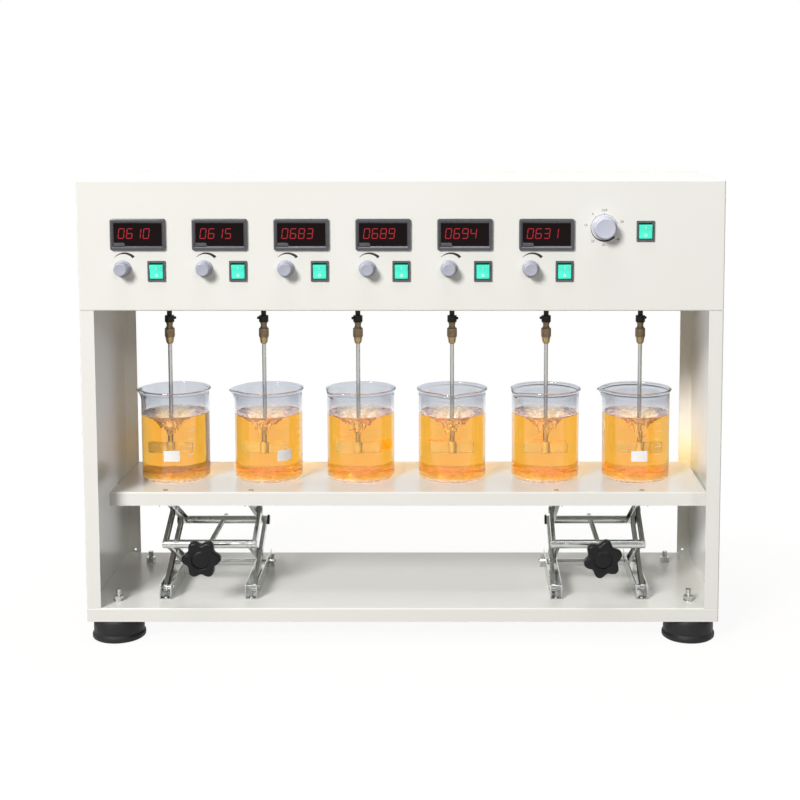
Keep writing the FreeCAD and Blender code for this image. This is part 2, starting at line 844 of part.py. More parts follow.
free_hole = pin_radius + running_fit
back_y = pivot_y + rest_run
cross_y = pivot_y + rest_run / 2
lower_cross_z = base_pivot_z + rest_rise / 2
upper_cross_z = middle_pivot_z + rest_rise / 2


def fixed_arms(own_inner, start, angle, cross_z, jack_x):
    own = arm(own_inner, start, angle, (free_hole, pin_radius, free_hole))
    return both_sides([own, cross_rivet(own_inner == outer_arm_in, cross_z)], jack_x)


def lower_fixed_arms(jack_x):
    return fixed_arms(outer_arm_in, (pivot_y, base_pivot_z), jack_rest_angle, lower_cross_z, jack_x)


def upper_fixed_arms(jack_x):
    return fixed_arms(inner_arm_in, (back_y, middle_pivot_z), 180 - jack_rest_angle, upper_cross_z, jack_x)


# A sliding pair shares one rod that runs in the rails' slots. nut_side is 0 where the rod has no wing nut
def sliding_arms(inner, start, angle, rod_z, jack_x, nut_side):
    if rod_z > middle_pivot_z:
        holes = (free_hole, free_hole, slide_rod_radius)
    else:
        holes = (slide_rod_radius, free_hole, free_hole)
    own = arm(inner, start, angle, holes)
    reach = rail_outer + side_play
    ends = {}
    for side in (-1, 1):
        beyond = wing_nut_length + wing_rod_tail if side == nut_side else pin_head
        ends[side] = side * (reach + beyond)
    bar = rod(slide_rod_radius, at(ends[-1], back_y, rod_z), at(ends[1], back_y, rod_z))
    solids = both_sides([own], jack_x)
    for side in (-1, 1):
        if side != nut_side:
            head = rod(pin_head_radius, at(side * reach, back_y, rod_z), at(ends[side], back_y, rod_z))
            bar = bar.fuse(head)
    if nut_side:
        nut = wing_nut(back_y, rod_z)
        if nut_side < 0:
            nut = mirrored(nut)
        solids.append(moved(nut.cut(bar), jack_x))
    solids.append(moved(bar, jack_x))
    return solids


# The wing nut stands outside the rail, on the rod's threaded end
def wing_nut(y, z):
    x0 = rail_outer + side_play
    x1 = x0 + wing_nut_length
    nut = turned([(0.0, 0.0), (wing_nut_radius, 0.0), (wing_nut_radius - wing_nut_taper, wing_nut_length),
                  (0.0, wing_nut_length)], at(x0, y, z), at(1, 0, 0))
    root = wing_nut_radius - 2 * wing_nut_taper
    for side in (-1, 1):
        points = [
            at(x0 + wing_lean, y - wing_thickness / 2, z + side * root),
            at(x0 + wing_lean, y - wing_thickness / 2, z + side * wing_span / 2),
            at(x0 + wing_lean + wing_width, y - wing_thickness / 2, z + side * wing_span / 2),
            at(x1 - wing_lean, y - wing_thickness / 2, z + side * root),
        ]
        nut = nut.fuse(plate_of(points, at(0, wing_thickness, 0)))
    return nut


def lower_sliding_arms(jack_x):
    nut_side = 1 if jack_x < 0 else -1
    return sliding_arms(inner_arm_in, (back_y, base_pivot_z), 180 - jack_rest_angle, base_pivot_z,
                        jack_x, nut_side)


def upper_sliding_arms(jack_x):
    return sliding_arms(outer_arm_in, (pivot_y, middle_pivot_z), jack_rest_angle, top_pivot_z, jack_x, 0)


# The two bars at the middle: pins at their ends carry the arms, and the screw passes through both.
# The tube's pins end in heads, and the rear bar's in pushed-on caps
def cross_bar(radius, y, jack_x, capped):
    z = middle_pivot_z
    half = rod(radius, at(0, y, z), at(tube_end, y, z))
    shoulder_end = inner_arm_out - arm_wall - side_play
    half = half.fuse(rod(pin_shoulder_radius, at(tube_end, y, z), at(shoulder_end, y, z)))
    head_x = outer_arm_out + side_play
    pin_end = head_x + (end_cap_length / 2 if capped else 0)
    half = half.fuse(rod(pin_radius, at(shoulder_end, y, z), at(pin_end, y, z)))
    if not capped:
        half = half.fuse(rod(pin_head_radius, at(head_x, y, z), at(head_x + pin_head, y, z)))
    bar = half.fuse(mirrored(half)).removeSplitter()
    bar = bar.cut(rod(jack_screw_radius + running_fit, at(0, y - through, z), at(0, y + through, z)))
    if not capped:
        return [moved(bar, jack_x)]
    cap = rod(end_cap_radius, at(head_x, y, z), at(head_x + end_cap_length, y, z)).cut(half)
    return [moved(bar, jack_x)] + both_sides([cap], jack_x)


def star_outline(y):
    """A wavy ring: convex lobes and hollow valleys, as arcs that meet each other."""
    ring = star_knob_radius - star_knob_lobe_radius
    lobe = star_knob_lobe_radius
    step = 2 * math.pi / star_knob_lobes
    spread = math.radians(star_knob_lobe_spread)
    points = []
    for k in range(star_knob_lobes):
        middle = k * step
        centre = (ring * math.cos(middle), ring * math.sin(middle))
        lobe_points = []
        for turn in (middle - spread, middle, middle + spread):
            lobe_points.append((centre[0] + lobe * math.cos(turn), centre[1] + lobe * math.sin(turn)))
        points.append(lobe_points)
    edges = []
    for k in range(star_knob_lobes):
        start, top, end = [at(px, y, pz) for px, pz in points[k]]
        edges.append(Part.Arc(start, top, end).toShape())
        following = points[(k + 1) % star_knob_lobes][0]
        between = (k + 0.5) * step
        valley = at(star_knob_valley_radius * math.cos(between), y,
                    star_knob_valley_radius * math.sin(between))
        edges.append(Part.Arc(end, valley, at(following[0], y, following[1])).toShape())
    return Part.Face(Part.Wire(edges))


def screw_and_knob(jack_x, turn):
    face = front - star_knob_proud
    knob_back = face + star_knob_thickness
    hub_back = knob_back + star_knob_hub_length
    star = star_outline(face).extrude(at(0, star_knob_thickness, 0))
    star = star.fuse(rod(star_knob_hub_radius, at(0, knob_back, 0), at(0, hub_back, 0)))
    star = star.cut(rod(star_knob_recess_radius, at(0, face - past, 0), at(0, face + star_knob_recess, 0)))
    screw_start = face + star_knob_thickness / 2
    screw_end = pivot_y + longest_run + jack_screw_tail
    screw = rod(jack_screw_radius, at(0, screw_start, 0), at(0, screw_end, 0))
    star = star.cut(screw)
    star.rotate(at(0, 0, 0), at(0, -1, 0), turn)
    collar_y = pivot_y - tube_radius - side_play
    collar = rod(screw_collar_radius, at(0, collar_y - screw_collar_length, 0), at(0, collar_y, 0)).cut(screw)
    return [moved(shape, jack_x, 0, middle_pivot_z) for shape in (star, screw, collar)]


# A stirrer: motor shaft, collar with its screw, chuck, rod and paddle
def stirrer(k):
    x = stirrer_xs[k]
    y = stirrer_y
    shaft_top = deck_top + motor_flange_thick + shaft_in_motor
    shaft_end = header_bottom - shaft_below_header
    shaft = rod(shaft_radius, at(x, y, shaft_end), at(x, y, shaft_top))
    collar = rod(collar_radius, at(x, y, shaft_end), at(x, y, shaft_end + collar_length)).cut(shaft)
    turn = math.radians(collar_screw_turns[k])
    out = at(math.cos(turn), math.sin(turn), 0)
    screw_z = shaft_end + collar_length - collar_screw_from_top
    middle = at(x, y, screw_z)
    screw = rod(collar_screw_radius, middle + out * shaft_radius, middle + out * collar_screw_reach)
    collar = collar.cut(screw)
    neck = chuck_neck_length
    sleeve = neck + chuck_sleeve_length
    nose = sleeve + chuck_nose_length
    outline = [
        (0.0, 0.0),
        (chuck_neck_radius, 0.0),
        (chuck_neck_radius, -neck),
        (chuck_sleeve_radius, -neck - chuck_edge),
        (chuck_sleeve_radius, -sleeve),
        (chuck_nose_radius, -nose),
        (0.0, -nose),
    ]
    chuck = turned(outline, at(x, y, shaft_end), at(0, 0, 1))
    paddle_z = shelf_top + paddle_above_shelf
    rod_top = shaft_end - nose + rod_in_chuck
    shank = rod(stirrer_rod_radius, at(x, y, paddle_z), at(x, y, rod_top))
    chuck = chuck.cut(shank)
    blade = block(x - paddle_width / 2, x + paddle_width / 2, y - paddle_thick / 2, y + paddle_thick / 2,
                  paddle_z, paddle_z + paddle_high)
    hub = rod(paddle_hub_radius, at(x, y, paddle_z), at(x, y, paddle_z + paddle_high))
    paddle = blade.fuse(hub).cut(shank)
    return [shaft, collar, screw, chuck, shank, paddle]


# A beaker: a thin cup with a rolled rim and a pouring lip
def beaker_body(grow, height, floor):
    radius = beaker_radius - grow
    heel = beaker_heel - grow
    low = floor
    body = Part.makeCylinder(radius, height - low, at(0, 0, low))
    body = rounded(body, heel, lambda p: abs(p.z - low) < touching)
    rim = Part.makeCone(radius, radius + beaker_rim_flare, beaker_rim_high,
                        at(0, 0, height - beaker_rim_high))
    foot = at(radius - beaker_spout_foot - beaker_spout_sink, 0, height - beaker_spout_drop)
    mouth = at(radius + beaker_spout_reach - beaker_spout_radius, 0, height)
    spout = Part.makeLoft([
        Part.Wire(Part.makeCircle(beaker_spout_foot, foot)),
        Part.Wire(Part.makeCircle(beaker_spout_radius, mouth)),
    ], True)
    return body.fuse([rim, spout])


def beaker(k):
    outer = beaker_body(0.0, beaker_height, 0.0)
    inner = beaker_body(beaker_wall, beaker_height, beaker_floor)
    cup = outer.cut(inner)
    cup.rotate(at(0, 0, 0), at(0, 0, 1), beaker_spout_angle[k])
    cup.translate(at(stirrer_xs[k] + beaker_shift[k], stirrer_y + beaker_behind_rod, shelf_top))
    return [cup]


save("base_pan", [base_pan()])
save("left_column", [column(-1)])
save("right_column", [column(1)])
save("control_panel", [control_panel()])
save("header_cover", [header_cover()])
save("motor_deck", [motor_deck()])
save("motors", [solid for x in stirrer_xs for solid in motor(x)])
save("speed_boards", [solid for x in stirrer_xs for solid in speed_board(x)])
save("power_supply", power_supply())
save("power_inlet", power_inlet())
save("meter_cases", [meter_case(x) for x in meter_xs])
save("meter_windows", [meter_window(x) for x in meter_xs])
save("switch_frames", [switch_frame(x, z) for x, z in switch_places])
knob_z = frame_bottom + knob_height
save("potentiometers", [solid for x in meter_xs for solid in potentiometer(x + knob_from_meter, knob_z)])
save("timer_mechanism", timer_mechanism())
save("feet", [foot(x, y) for x, y in foot_places])
save("foot_studs", [solid for x, y in foot_places for solid in stud_set(x, y)])
save("jack_base_rails", jack_base_rails())
save("jack_top_rails", jack_top_rails())
save("shelf", [shelf()])

jacks = zip(("left", "right"), (-jack_spacing / 2, jack_spacing / 2), star_knob_turns)
for jack_name, jack_x, knob_turn in jacks:
    save(f"{jack_name}_jack_lower_fixed_arms", lower_fixed_arms(jack_x))
    save(f"{jack_name}_jack_lower_sliding_arms", lower_sliding_arms(jack_x))
    save(f"{jack_name}_jack_upper_fixed_arms", upper_fixed_arms(jack_x))
    save(f"{jack_name}_jack_upper_sliding_arms", upper_sliding_arms(jack_x))
    save(f"{jack_name}_jack_front_tube", cross_bar(tube_radius, pivot_y, jack_x, False))
    save(f"{jack_name}_jack_rear_bar", cross_bar(rear_shaft_radius, back_y, jack_x, True))
    save(f"{jack_name}_jack_screw", screw_and_knob(jack_x, knob_turn))

for k in range(stirrer_count):
    save(f"stirrer_{k + 1}", stirrer(k))
    save(f"beaker_{k + 1}", beaker(k))

for k, x in enumerate(meter_xs):
    speed_knob = knob(x + knob_from_meter, knob_z, speed_knob_base_radius, speed_knob_cap_radius,
                      speed_knob_proud)
    save(f"speed_knob_{k + 1}", speed_knob)
timer_z = frame_bottom + timer_height
save("timer_knob", knob(timer_x, timer_z, timer_knob_base_radius, timer_knob_cap_radius, timer_knob_proud))
for k, (x, z) in enumerate(switch_places):
    name = "power_rocker" if k == len(switch_places) - 1 else f"rocker_{k + 1}"
    save(name, [rocker(x, z)])
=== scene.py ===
import json
import math

import bmesh
import bpy
from mathutils import Matrix, Vector, noise


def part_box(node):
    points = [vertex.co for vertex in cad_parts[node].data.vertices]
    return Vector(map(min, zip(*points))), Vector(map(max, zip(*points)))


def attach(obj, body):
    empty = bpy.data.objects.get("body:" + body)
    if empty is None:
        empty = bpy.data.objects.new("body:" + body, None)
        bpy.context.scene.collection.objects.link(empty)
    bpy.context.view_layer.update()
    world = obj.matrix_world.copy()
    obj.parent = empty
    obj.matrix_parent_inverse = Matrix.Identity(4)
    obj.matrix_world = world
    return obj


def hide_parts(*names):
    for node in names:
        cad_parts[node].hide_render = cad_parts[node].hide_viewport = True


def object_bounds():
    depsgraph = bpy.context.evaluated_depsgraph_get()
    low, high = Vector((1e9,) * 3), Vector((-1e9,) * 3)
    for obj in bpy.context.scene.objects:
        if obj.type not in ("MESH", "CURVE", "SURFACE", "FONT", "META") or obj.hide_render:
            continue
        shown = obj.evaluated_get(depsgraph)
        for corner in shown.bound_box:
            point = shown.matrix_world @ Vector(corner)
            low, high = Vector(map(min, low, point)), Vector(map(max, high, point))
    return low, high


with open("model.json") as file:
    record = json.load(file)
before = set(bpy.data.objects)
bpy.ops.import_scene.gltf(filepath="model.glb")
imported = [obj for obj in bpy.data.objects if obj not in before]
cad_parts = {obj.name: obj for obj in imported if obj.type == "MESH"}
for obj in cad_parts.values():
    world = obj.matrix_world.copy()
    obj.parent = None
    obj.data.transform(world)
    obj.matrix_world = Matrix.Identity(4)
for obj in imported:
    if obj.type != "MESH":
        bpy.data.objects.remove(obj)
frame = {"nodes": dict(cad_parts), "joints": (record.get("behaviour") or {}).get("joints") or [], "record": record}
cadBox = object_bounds()
nodes = frame["nodes"]
mm = 0.001
sides = ("left", "right")


def toLinear(hexColour):
    values = [int(hexColour[i:i + 2], 16) / 255 for i in (1, 3, 5)]
    return [v / 12.92 if v <= 0.04045 else ((v + 0.055) / 1.055) ** 2.4 for v in values] + [1.0]


def addNode(tree, kind, settings=(), inputs=()):
    node = tree.nodes.new("ShaderNode" + kind)
    for name, value in dict(settings).items():
        setattr(node, name, value)
    for name, value in dict(inputs).items():
        if isinstance(value, bpy.types.NodeSocket):
            tree.links.new(value, node.inputs[name])
        else:
            node.inputs[name].default_value = value
    return node


def perMetre(size):  # a pattern's size in mm, as a texture's scale
    return 1000 / size


def smoothstep(x):
    x = max(0.0, min(1.0, x))
    return x * x * (3 - 2 * x)


def newMaterial(name, **values):
    material = bpy.data.materials.new(name)
    material.use_nodes = True
    tree = material.node_tree
    shader = tree.nodes["Principled BSDF"]
    for socket, value in values.items():
        shader.inputs[socket.replace("_", " ")].default_value = value
    place = addNode(tree, "TexCoord").outputs["Object"]
    return material, tree, shader, place


# two tones in soft patches of a given size
def mottle(tree, shader, place, size, hexA, hexB, detail=3.0):
    patches = addNode(tree, "TexNoise", inputs={"Vector": place, "Scale": perMetre(size), "Detail": detail})
    tones = {0: patches.outputs["Fac"], 6: toLinear(hexA), 7: toLinear(hexB)}
    mix = addNode(tree, "Mix", {"data_type": "RGBA"}, tones)
    tree.links.new(mix.outputs[2], shader.inputs["Base Color"])


# roughness that wanders between two values
def gloss(tree, shader, place, size, low, high):
    wander = addNode(tree, "TexNoise", inputs={"Vector": place, "Scale": perMetre(size), "Detail": 4.0})
    spread = addNode(tree, "MapRange", inputs={
        "Value": wander.outputs["Fac"], "From Min": 0.3, "From Max": 0.7, "To Min": low, "To Max": high})
    tree.links.new(spread.outputs["Result"], shader.inputs["Roughness"])


# bumps of a given size and depth, in mm. The grain that a mould leaves on plastic, phenolic or rubber is
# 0.05 to 0.3 mm, too fine to show here, so theirs is drawn coarser
def grain(tree, shader, place, size, depth, strength=0.3):
    bumps = addNode(tree, "TexNoise", inputs={"Vector": place, "Scale": perMetre(size), "Detail": 2.0})
    bump = addNode(tree, "Bump", inputs={
        "Height": bumps.outputs["Fac"], "Distance": depth * mm, "Strength": strength})
    tree.links.new(bump.outputs["Normal"], shader.inputs["Normal"])


def makeCreamPowderCoat():
    # polyester powder baked on folded steel: warm off-white, half gloss, with a faint orange peel
    material, tree, shader, place = newMaterial("creamPowderCoat", IOR=1.5)
    mottle(tree, shader, place, 240, "#EAE9E4", "#E6E5DE", 1.0)
    gloss(tree, shader, place, 120, 0.23, 0.27)
    grain(tree, shader, place, 4.5, 0.03, 0.05)  # real peel is about 1 mm, drawn coarser to show
    return material


def makeBrightZinc():
    # bright zinc plate on pressed strip: clean cool silver with pale clouds, duller where it was handled
    material, tree, shader, place = newMaterial("brightZincPlate", Metallic=1.0)
    mottle(tree, shader, place, 16, "#DDDEDB", "#BCBEBA")
    gloss(tree, shader, place, 11, 0.12, 0.28)
    grain(tree, shader, place, 6, 0.03, 0.12)
    return material


def makeStainless():
    # stainless rod, ground round its length: bright, with fine rings that stretch its highlight
    material, tree, shader, place = newMaterial("groundStainless", Metallic=1.0)
    rings = addNode(tree, "Mapping", inputs={"Vector": place, "Scale": (0.1, 0.1, 1.0)}).outputs["Vector"]
    mottle(tree, shader, rings, 1.5, "#D3D2CF", "#B4B2AE")  # real lines are under 0.1 mm, drawn coarser
    gloss(tree, shader, rings, 2.5, 0.16, 0.28)
    return material


def makeBlastedSteel():
    # bead-blasted stainless paddle: satin, so that it takes the colour of the liquid round it
    material, tree, shader, place = newMaterial("blastedStainless", Metallic=0.5)
    mottle(tree, shader, place, 5, "#C9C5BE", "#B4B0A9")
    gloss(tree, shader, place, 4, 0.4, 0.55)
    return material


def makeBrownedSteel():
    # chuck sleeve, chemically browned and worn by hands: dark warm brown with lighter rubbed spots
    material, tree, shader, place = newMaterial("brownedSteel", Metallic=1.0)
    mottle(tree, shader, place, 3.5, "#6A5B4A", "#A08B6E", 4.0)
    gloss(tree, shader, place, 2.5, 0.28, 0.45)
    return material


def makeBrass():
    # turned brass nose, a little tarnished
    material, tree, shader, place = newMaterial("turnedBrass", Metallic=1.0)
    mottle(tree, shader, place, 3, "#B9A67C", "#8E7C58")
    gloss(tree, shader, place, 2, 0.25, 0.4)
    return material


def makeBlackOxide():
    # blackened steel collar: near black, oily satin
    material, tree, shader, place = newMaterial("blackOxideSteel", Metallic=0.6)
    mottle(tree, shader, place, 3, "#1C1B17", "#2B2A22")
    gloss(tree, shader, place, 2, 0.3, 0.48)
    return material


def makePhenolic():
    # moulded black phenolic of the star knobs: deep black, soft highlights, very fine skin
    material, tree, shader, place = newMaterial("blackPhenolic", IOR=1.6, Specular_IOR_Level=0.2)
    mottle(tree, shader, place, 12, "#09090B", "#111113")
    gloss(tree, shader, place, 8, 0.3, 0.44)
    grain(tree, shader, place, 1.1, 0.03, 0.2)
    return material


def makeRubber():
    # moulded rubber foot: dull black with a dusty bloom
    material, tree, shader, place = newMaterial("mouldedRubber", IOR=1.52, Specular_IOR_Level=0.35)
    mottle(tree, shader, place, 14, "#101011", "#1C1C1D")
    gloss(tree, shader, place, 10, 0.45, 0.65)
    grain(tree, shader, place, 1.4, 0.05, 0.3)
    return material


def makeBezelPlastic():
    # metallic grey ABS of the meters' bezels: mid grey, silky
    material, tree, shader, place = newMaterial("silkyGreyAbs", IOR=1.53, Metallic=0.5)
    mottle(tree, shader, place, 8, "#606064", "#505054")
    gloss(tree, shader, place, 5, 0.26, 0.38)
    grain(tree, shader, place, 0.9, 0.02, 0.2)
    return material


def makeDarkAbs():
    # dark grey ABS of the switch frames, lightly textured by the mould
    material, tree, shader, place = newMaterial("darkGreyAbs", IOR=1.53)
    mottle(tree, shader, place, 5, "#5C5A58", "#4B4A49")
    gloss(tree, shader, place, 4, 0.38, 0.5)
    grain(tree, shader, place, 0.8, 0.03, 0.25)
    return material


def makeKnobPlastic(name, paler, darker):
    # light grey ABS knob with a violet tint, satin from the mould
    material, tree, shader, place = newMaterial(name, IOR=1.53)
    mottle(tree, shader, place, 6, paler, darker)
    gloss(tree, shader, place, 4, 0.3, 0.42)
    grain(tree, shader, place, 0.8, 0.02, 0.2)
    return material


def makeGreenLens():
    # clear green polycarbonate over a lamp: turquoise, lit from inside, glossy
    material, tree, shader, place = newMaterial("litGreenPolycarbonate", IOR=1.585, Roughness=0.14,
                                                Coat_Weight=0.4, Emission_Strength=0.34)
    mottle(tree, shader, place, 7, "#14C29E", "#48E6CC")
    shader.inputs["Emission Color"].default_value = toLinear("#30F0D2")
    return material


def makeSmokedFilter():
    # smoked red acrylic over the digits: almost black, mirror smooth
    material, tree, shader, place = newMaterial("smokedRedAcrylic", IOR=1.49, Roughness=0.12,
                                                Specular_IOR_Level=0.12)
    mottle(tree, shader, place, 25, "#150708", "#0E0506")
    return material


def makeLitSegments():
    # red lamp segments seen through the filter: a soft crimson
    material, tree, shader, place = newMaterial("redLampSegments", IOR=1.49, Roughness=0.3,
                                                Emission_Strength=0.3)
    mottle(tree, shader, place, 4, "#5E0A13", "#8A101C")
    shader.inputs["Emission Color"].default_value = toLinear("#D8142A")
    return material


def makeBlackInk():
    # screen-printed black ink, flat with a slight sheen
    material, tree, shader, place = newMaterial("screenPrintInk", IOR=1.5)
    mottle(tree, shader, place, 3, "#101012", "#19191B")
    gloss(tree, shader, place, 3, 0.45, 0.6)
    return material


def makeWhiteEnamel():
    # fired white enamel print on the glass, matt and opaque
    material, tree, shader, place = newMaterial("firedWhiteEnamel", IOR=1.5)
    mottle(tree, shader, place, 3, "#F4F3F0", "#EAE7E4")
    gloss(tree, shader, place, 3, 0.5, 0.65)
    return material


# glass and liquid let the lamps' light through, so that their shadow is pale
def lampsThrough(material, tree, surface, tint):
    clear = addNode(tree, "BsdfTransparent", inputs={"Color": toLinear(tint)})
    path = addNode(tree, "LightPath")
    mix = addNode(tree, "MixShader", inputs={
        0: path.outputs["Is Shadow Ray"], 1: surface.outputs[0], 2: clear.outputs[0]})
    tree.links.new(mix.outputs[0], tree.nodes["Material Output"].inputs["Surface"])
    return material


mist = {"from": 0.325, "full": 0.345, "clear": "#FDFEFE", "grey": "#D3D7DE"}  # heights in metres


def makeBorosilicate():
    # blown borosilicate: clear, with slight waves in the wall and a grey mist above the stirred liquid
    material, tree, shader, place = newMaterial("blownBorosilicate", IOR=1.47, Roughness=0.0,
                                                Transmission_Weight=1.0)
    height = addNode(tree, "SeparateXYZ", inputs={0: place})
    share = addNode(tree, "MapRange", inputs={
        "Value": height.outputs["Z"], "From Min": mist["from"], "From Max": mist["full"]})
    tones = {0: share.outputs["Result"], 6: toLinear(mist["clear"]), 7: toLinear(mist["grey"])}
    wall = addNode(tree, "Mix", {"data_type": "RGBA"}, tones)
    tree.links.new(wall.outputs[2], shader.inputs["Base Color"])
    grain(tree, shader, place, 30, 0.15, 0.25)
    return lampsThrough(material, tree, shader, "#F0F1F2")


# pale specks on the liquid's surface and floor, partly bubbles and floc and partly painted glare on the surface
# and painted light on the floor; their size in mm and how much of it they cover
foamAndGlare = {"specks": 7, "sparse": 0.2, "dense": 0.7, "colour": "#FFE6DE"}


def makeAmberLiquid():
    # stirred amber solution: nearly clear where it is thin, deep yellow-orange through its whole width
    material, tree, shader, place = newMaterial("amberSolution", IOR=1.333, Roughness=0.0,
                                                Transmission_Weight=1.0)
    mottle(tree, shader, place, 26, "#FFF6E4", "#FFFFFF")
    grain(tree, shader, place, 8, 0.5, 0.3)
    tint = addNode(tree, "VolumeAbsorption", inputs={"Color": toLinear("#FFE44A"), "Density": 33.0})
    tree.links.new(tint.outputs[0], tree.nodes["Material Output"].inputs["Volume"])
    # pale diffuse specks where the liquid's faces lie flat: bubbles on the stirred surface and floc on the floor,
    # whose pale colour also paints the surface's glare and the bright light on the floor
    face = addNode(tree, "NewGeometry")
    upright = addNode(tree, "SeparateXYZ", inputs={0: face.outputs["Normal"]})
    level = addNode(tree, "Math", {"operation": "ABSOLUTE"}, {0: upright.outputs["Z"]})
    lying = addNode(tree, "MapRange", inputs={"Value": level.outputs[0], "From Min": 0.15, "From Max": 0.6})
    specks = addNode(tree, "TexNoise", inputs={
        "Vector": place, "Scale": perMetre(foamAndGlare["specks"]), "Detail": 4.0})
    amount = addNode(tree, "MapRange", inputs={
        "Value": specks.outputs["Fac"], "From Min": 0.38, "From Max": 0.62,
        "To Min": foamAndGlare["sparse"], "To Max": foamAndGlare["dense"]})
    share = addNode(tree, "Math", {"operation": "MULTIPLY"},
                    {0: lying.outputs["Result"], 1: amount.outputs["Result"]})
    bubblesAndGlare = addNode(tree, "BsdfDiffuse", inputs={"Color": toLinear(foamAndGlare["colour"])})
    surface = addNode(tree, "MixShader", inputs={
        0: share.outputs[0], 1: shader.outputs[0], 2: bubblesAndGlare.outputs[0]})
    return lampsThrough(material, tree, surface, "#FFFFFF")


def makeMotorEnamel():
    # black baked enamel on the motor cans
    material, tree, shader, place = newMaterial("blackMotorEnamel", IOR=1.5)
    mottle(tree, shader, place, 20, "#17181A", "#222326")
    gloss(tree, shader, place, 12, 0.3, 0.45)
    return material


def makeSolderMask():
    # green solder mask on glass-fibre board
    material, tree, shader, place = newMaterial("greenSolderMask", IOR=1.55)
    mottle(tree, shader, place, 6, "#0F5A34", "#176B40")
    gloss(tree, shader, place, 5, 0.28, 0.4)
    return material


def makeCoreSteel():
    # varnished transformer laminations: dark grey in fine layers
    material, tree, shader, place = newMaterial("varnishedLaminations", IOR=1.5)
    layers = addNode(tree, "Mapping", inputs={"Vector": place, "Scale": (0.05, 0.05, 1.0)}).outputs["Vector"]
    mottle(tree, shader, layers, 1, "#4B4C50", "#35363A")  # real sheets are 0.5 mm, drawn coarser
    gloss(tree, shader, place, 6, 0.35, 0.55)
    return material


def makeNickel():
    # nickel plate on the potentiometers' cans, faintly yellow
    material, tree, shader, place = newMaterial("nickelPlate", Metallic=1.0)
    mottle(tree, shader, place, 5, "#C9C3B4", "#AFA999")
    gloss(tree, shader, place, 4, 0.25, 0.38)
    return material


print("finishes")
cream = makeCreamPowderCoat()
zinc = makeBrightZinc()
stainless = makeStainless()
blasted = makeBlastedSteel()
browned = makeBrownedSteel()
brass = makeBrass()
blackOxide = makeBlackOxide()
phenolic = makePhenolic()
rubber = makeRubber()
bezelGrey = makeBezelPlastic()
darkAbs = makeDarkAbs()
# the speed knobs take a darker copy of the timer knob's plastic; the darker tone is painted shade
shadedSpeedKnobGrey = makeKnobPlastic("greyAbsPaintedShade", "#B0B3C0", "#A4A7B4")
timerGrey = makeKnobPlastic("paleGreyAbs", "#C6C8D6", "#BCBECC")
greenLens = makeGreenLens()
smoked = makeSmokedFilter()
litRed = makeLitSegments()
ink = makeBlackInk()
enamel = makeWhiteEnamel()
glass = makeBorosilicate()
amber = makeAmberLiquid()

finishOfSlot = {
    "painted_steel": cream, "zinc_plated_steel": zinc, "motor_enamel": makeMotorEnamel(),
    "circuit_board": makeSolderMask(), "core_steel": makeCoreSteel(), "black_plastic": phenolic,
    "dark_grey_plastic": darkAbs, "smoked_acrylic": smoked, "nickel_plate": makeNickel(),
    "black_rubber": rubber, "stainless_steel": stainless, "borosilicate_glass": glass,
    "grey_knob_plastic": shadedSpeedKnobGrey, "green_lens": greenLens,
}
for part in frame["record"]["subparts"]:
    node = nodes[part["node"]]
    node.data.materials.clear()
    node.data.materials.append(finishOfSlot[part["material_slot"]])


def joined(*meshes):
    verts, faces = [], []
    for meshVerts, meshFaces in meshes:
        start = len(verts)
        verts += meshVerts
        faces += [tuple(i + start for i in face) for face in meshFaces]
    return verts, faces


# a mesh in mm, turned and set at a point in metres
def placed(mesh, where, turn=None):
    matrix = Matrix.Translation(where) @ (turn or Matrix.Identity(4)) @ Matrix.Scale(mm, 4)
    return [matrix @ Vector(v) for v in mesh[0]], mesh[1]


towardsFront = Matrix.Rotation(math.radians(90), 4, "X")  # +Z of a mesh points to the front


# turns (radius, height) points round Z. shape may change a point's radius by its angle
def lathe(outline, turns=64, shape=None):
    verts, faces, rings = [], [], []
    for radius, height in outline:
        if radius == 0:
            rings.append([len(verts)])
            verts.append((0, 0, height))
            continue
        rings.append(list(range(len(verts), len(verts) + turns)))
        for k in range(turns):
            angle = 2 * math.pi * k / turns
            r = shape(radius, height, angle) if shape else radius
            verts.append((r * math.cos(angle), r * math.sin(angle), height))
    for low, high in zip(rings, rings[1:]):
        for k in range(turns):
            n = (k + 1) % turns
            if len(low) == 1 and len(high) > 1:
                faces.append((low[0], high[k], high[n]))
            elif len(high) == 1 and len(low) > 1:
                faces.append((low[k], low[n], high[0]))
            elif len(low) > 1:
                faces.append((low[k], low[n], high[n], high[k]))
    return verts, faces


# loops of equally many points, joined in order
def loft(loops, capStart=True, capEnd=True):
    count = len(loops[0])
    verts = [point for loop in loops for point in loop]
    faces = []
    for row in range(len(loops) - 1):
        for k in range(count):
            n = (k + 1) % count
            faces.append((row * count + k, row * count + n, (row + 1) * count + n, (row + 1) * count + k))
    if capStart:
        faces.append(tuple(range(count)))
    if capEnd:
        faces.append(tuple(range((len(loops) - 1) * count, len(loops) * count)))
    return verts, faces


# a rectangle with round corners in the plane y, centred on X and Z
def roundedLoop(width, high, radius, y, cornerSteps=5):
    radius = max(radius, 0.02)
    points = []
    for turn, sx, sz in ((0, 1, 1), (90, -1, 1), (180, -1, -1), (270, 1, -1)):
        for step in range(cornerSteps + 1):
            angle = math.radians(turn + 90 * step / cornerSteps)
            points.append((sx * (width / 2 - radius) + radius * math.cos(angle), y,
                           sz * (high / 2 - radius) + radius * math.sin(angle)))
    return points


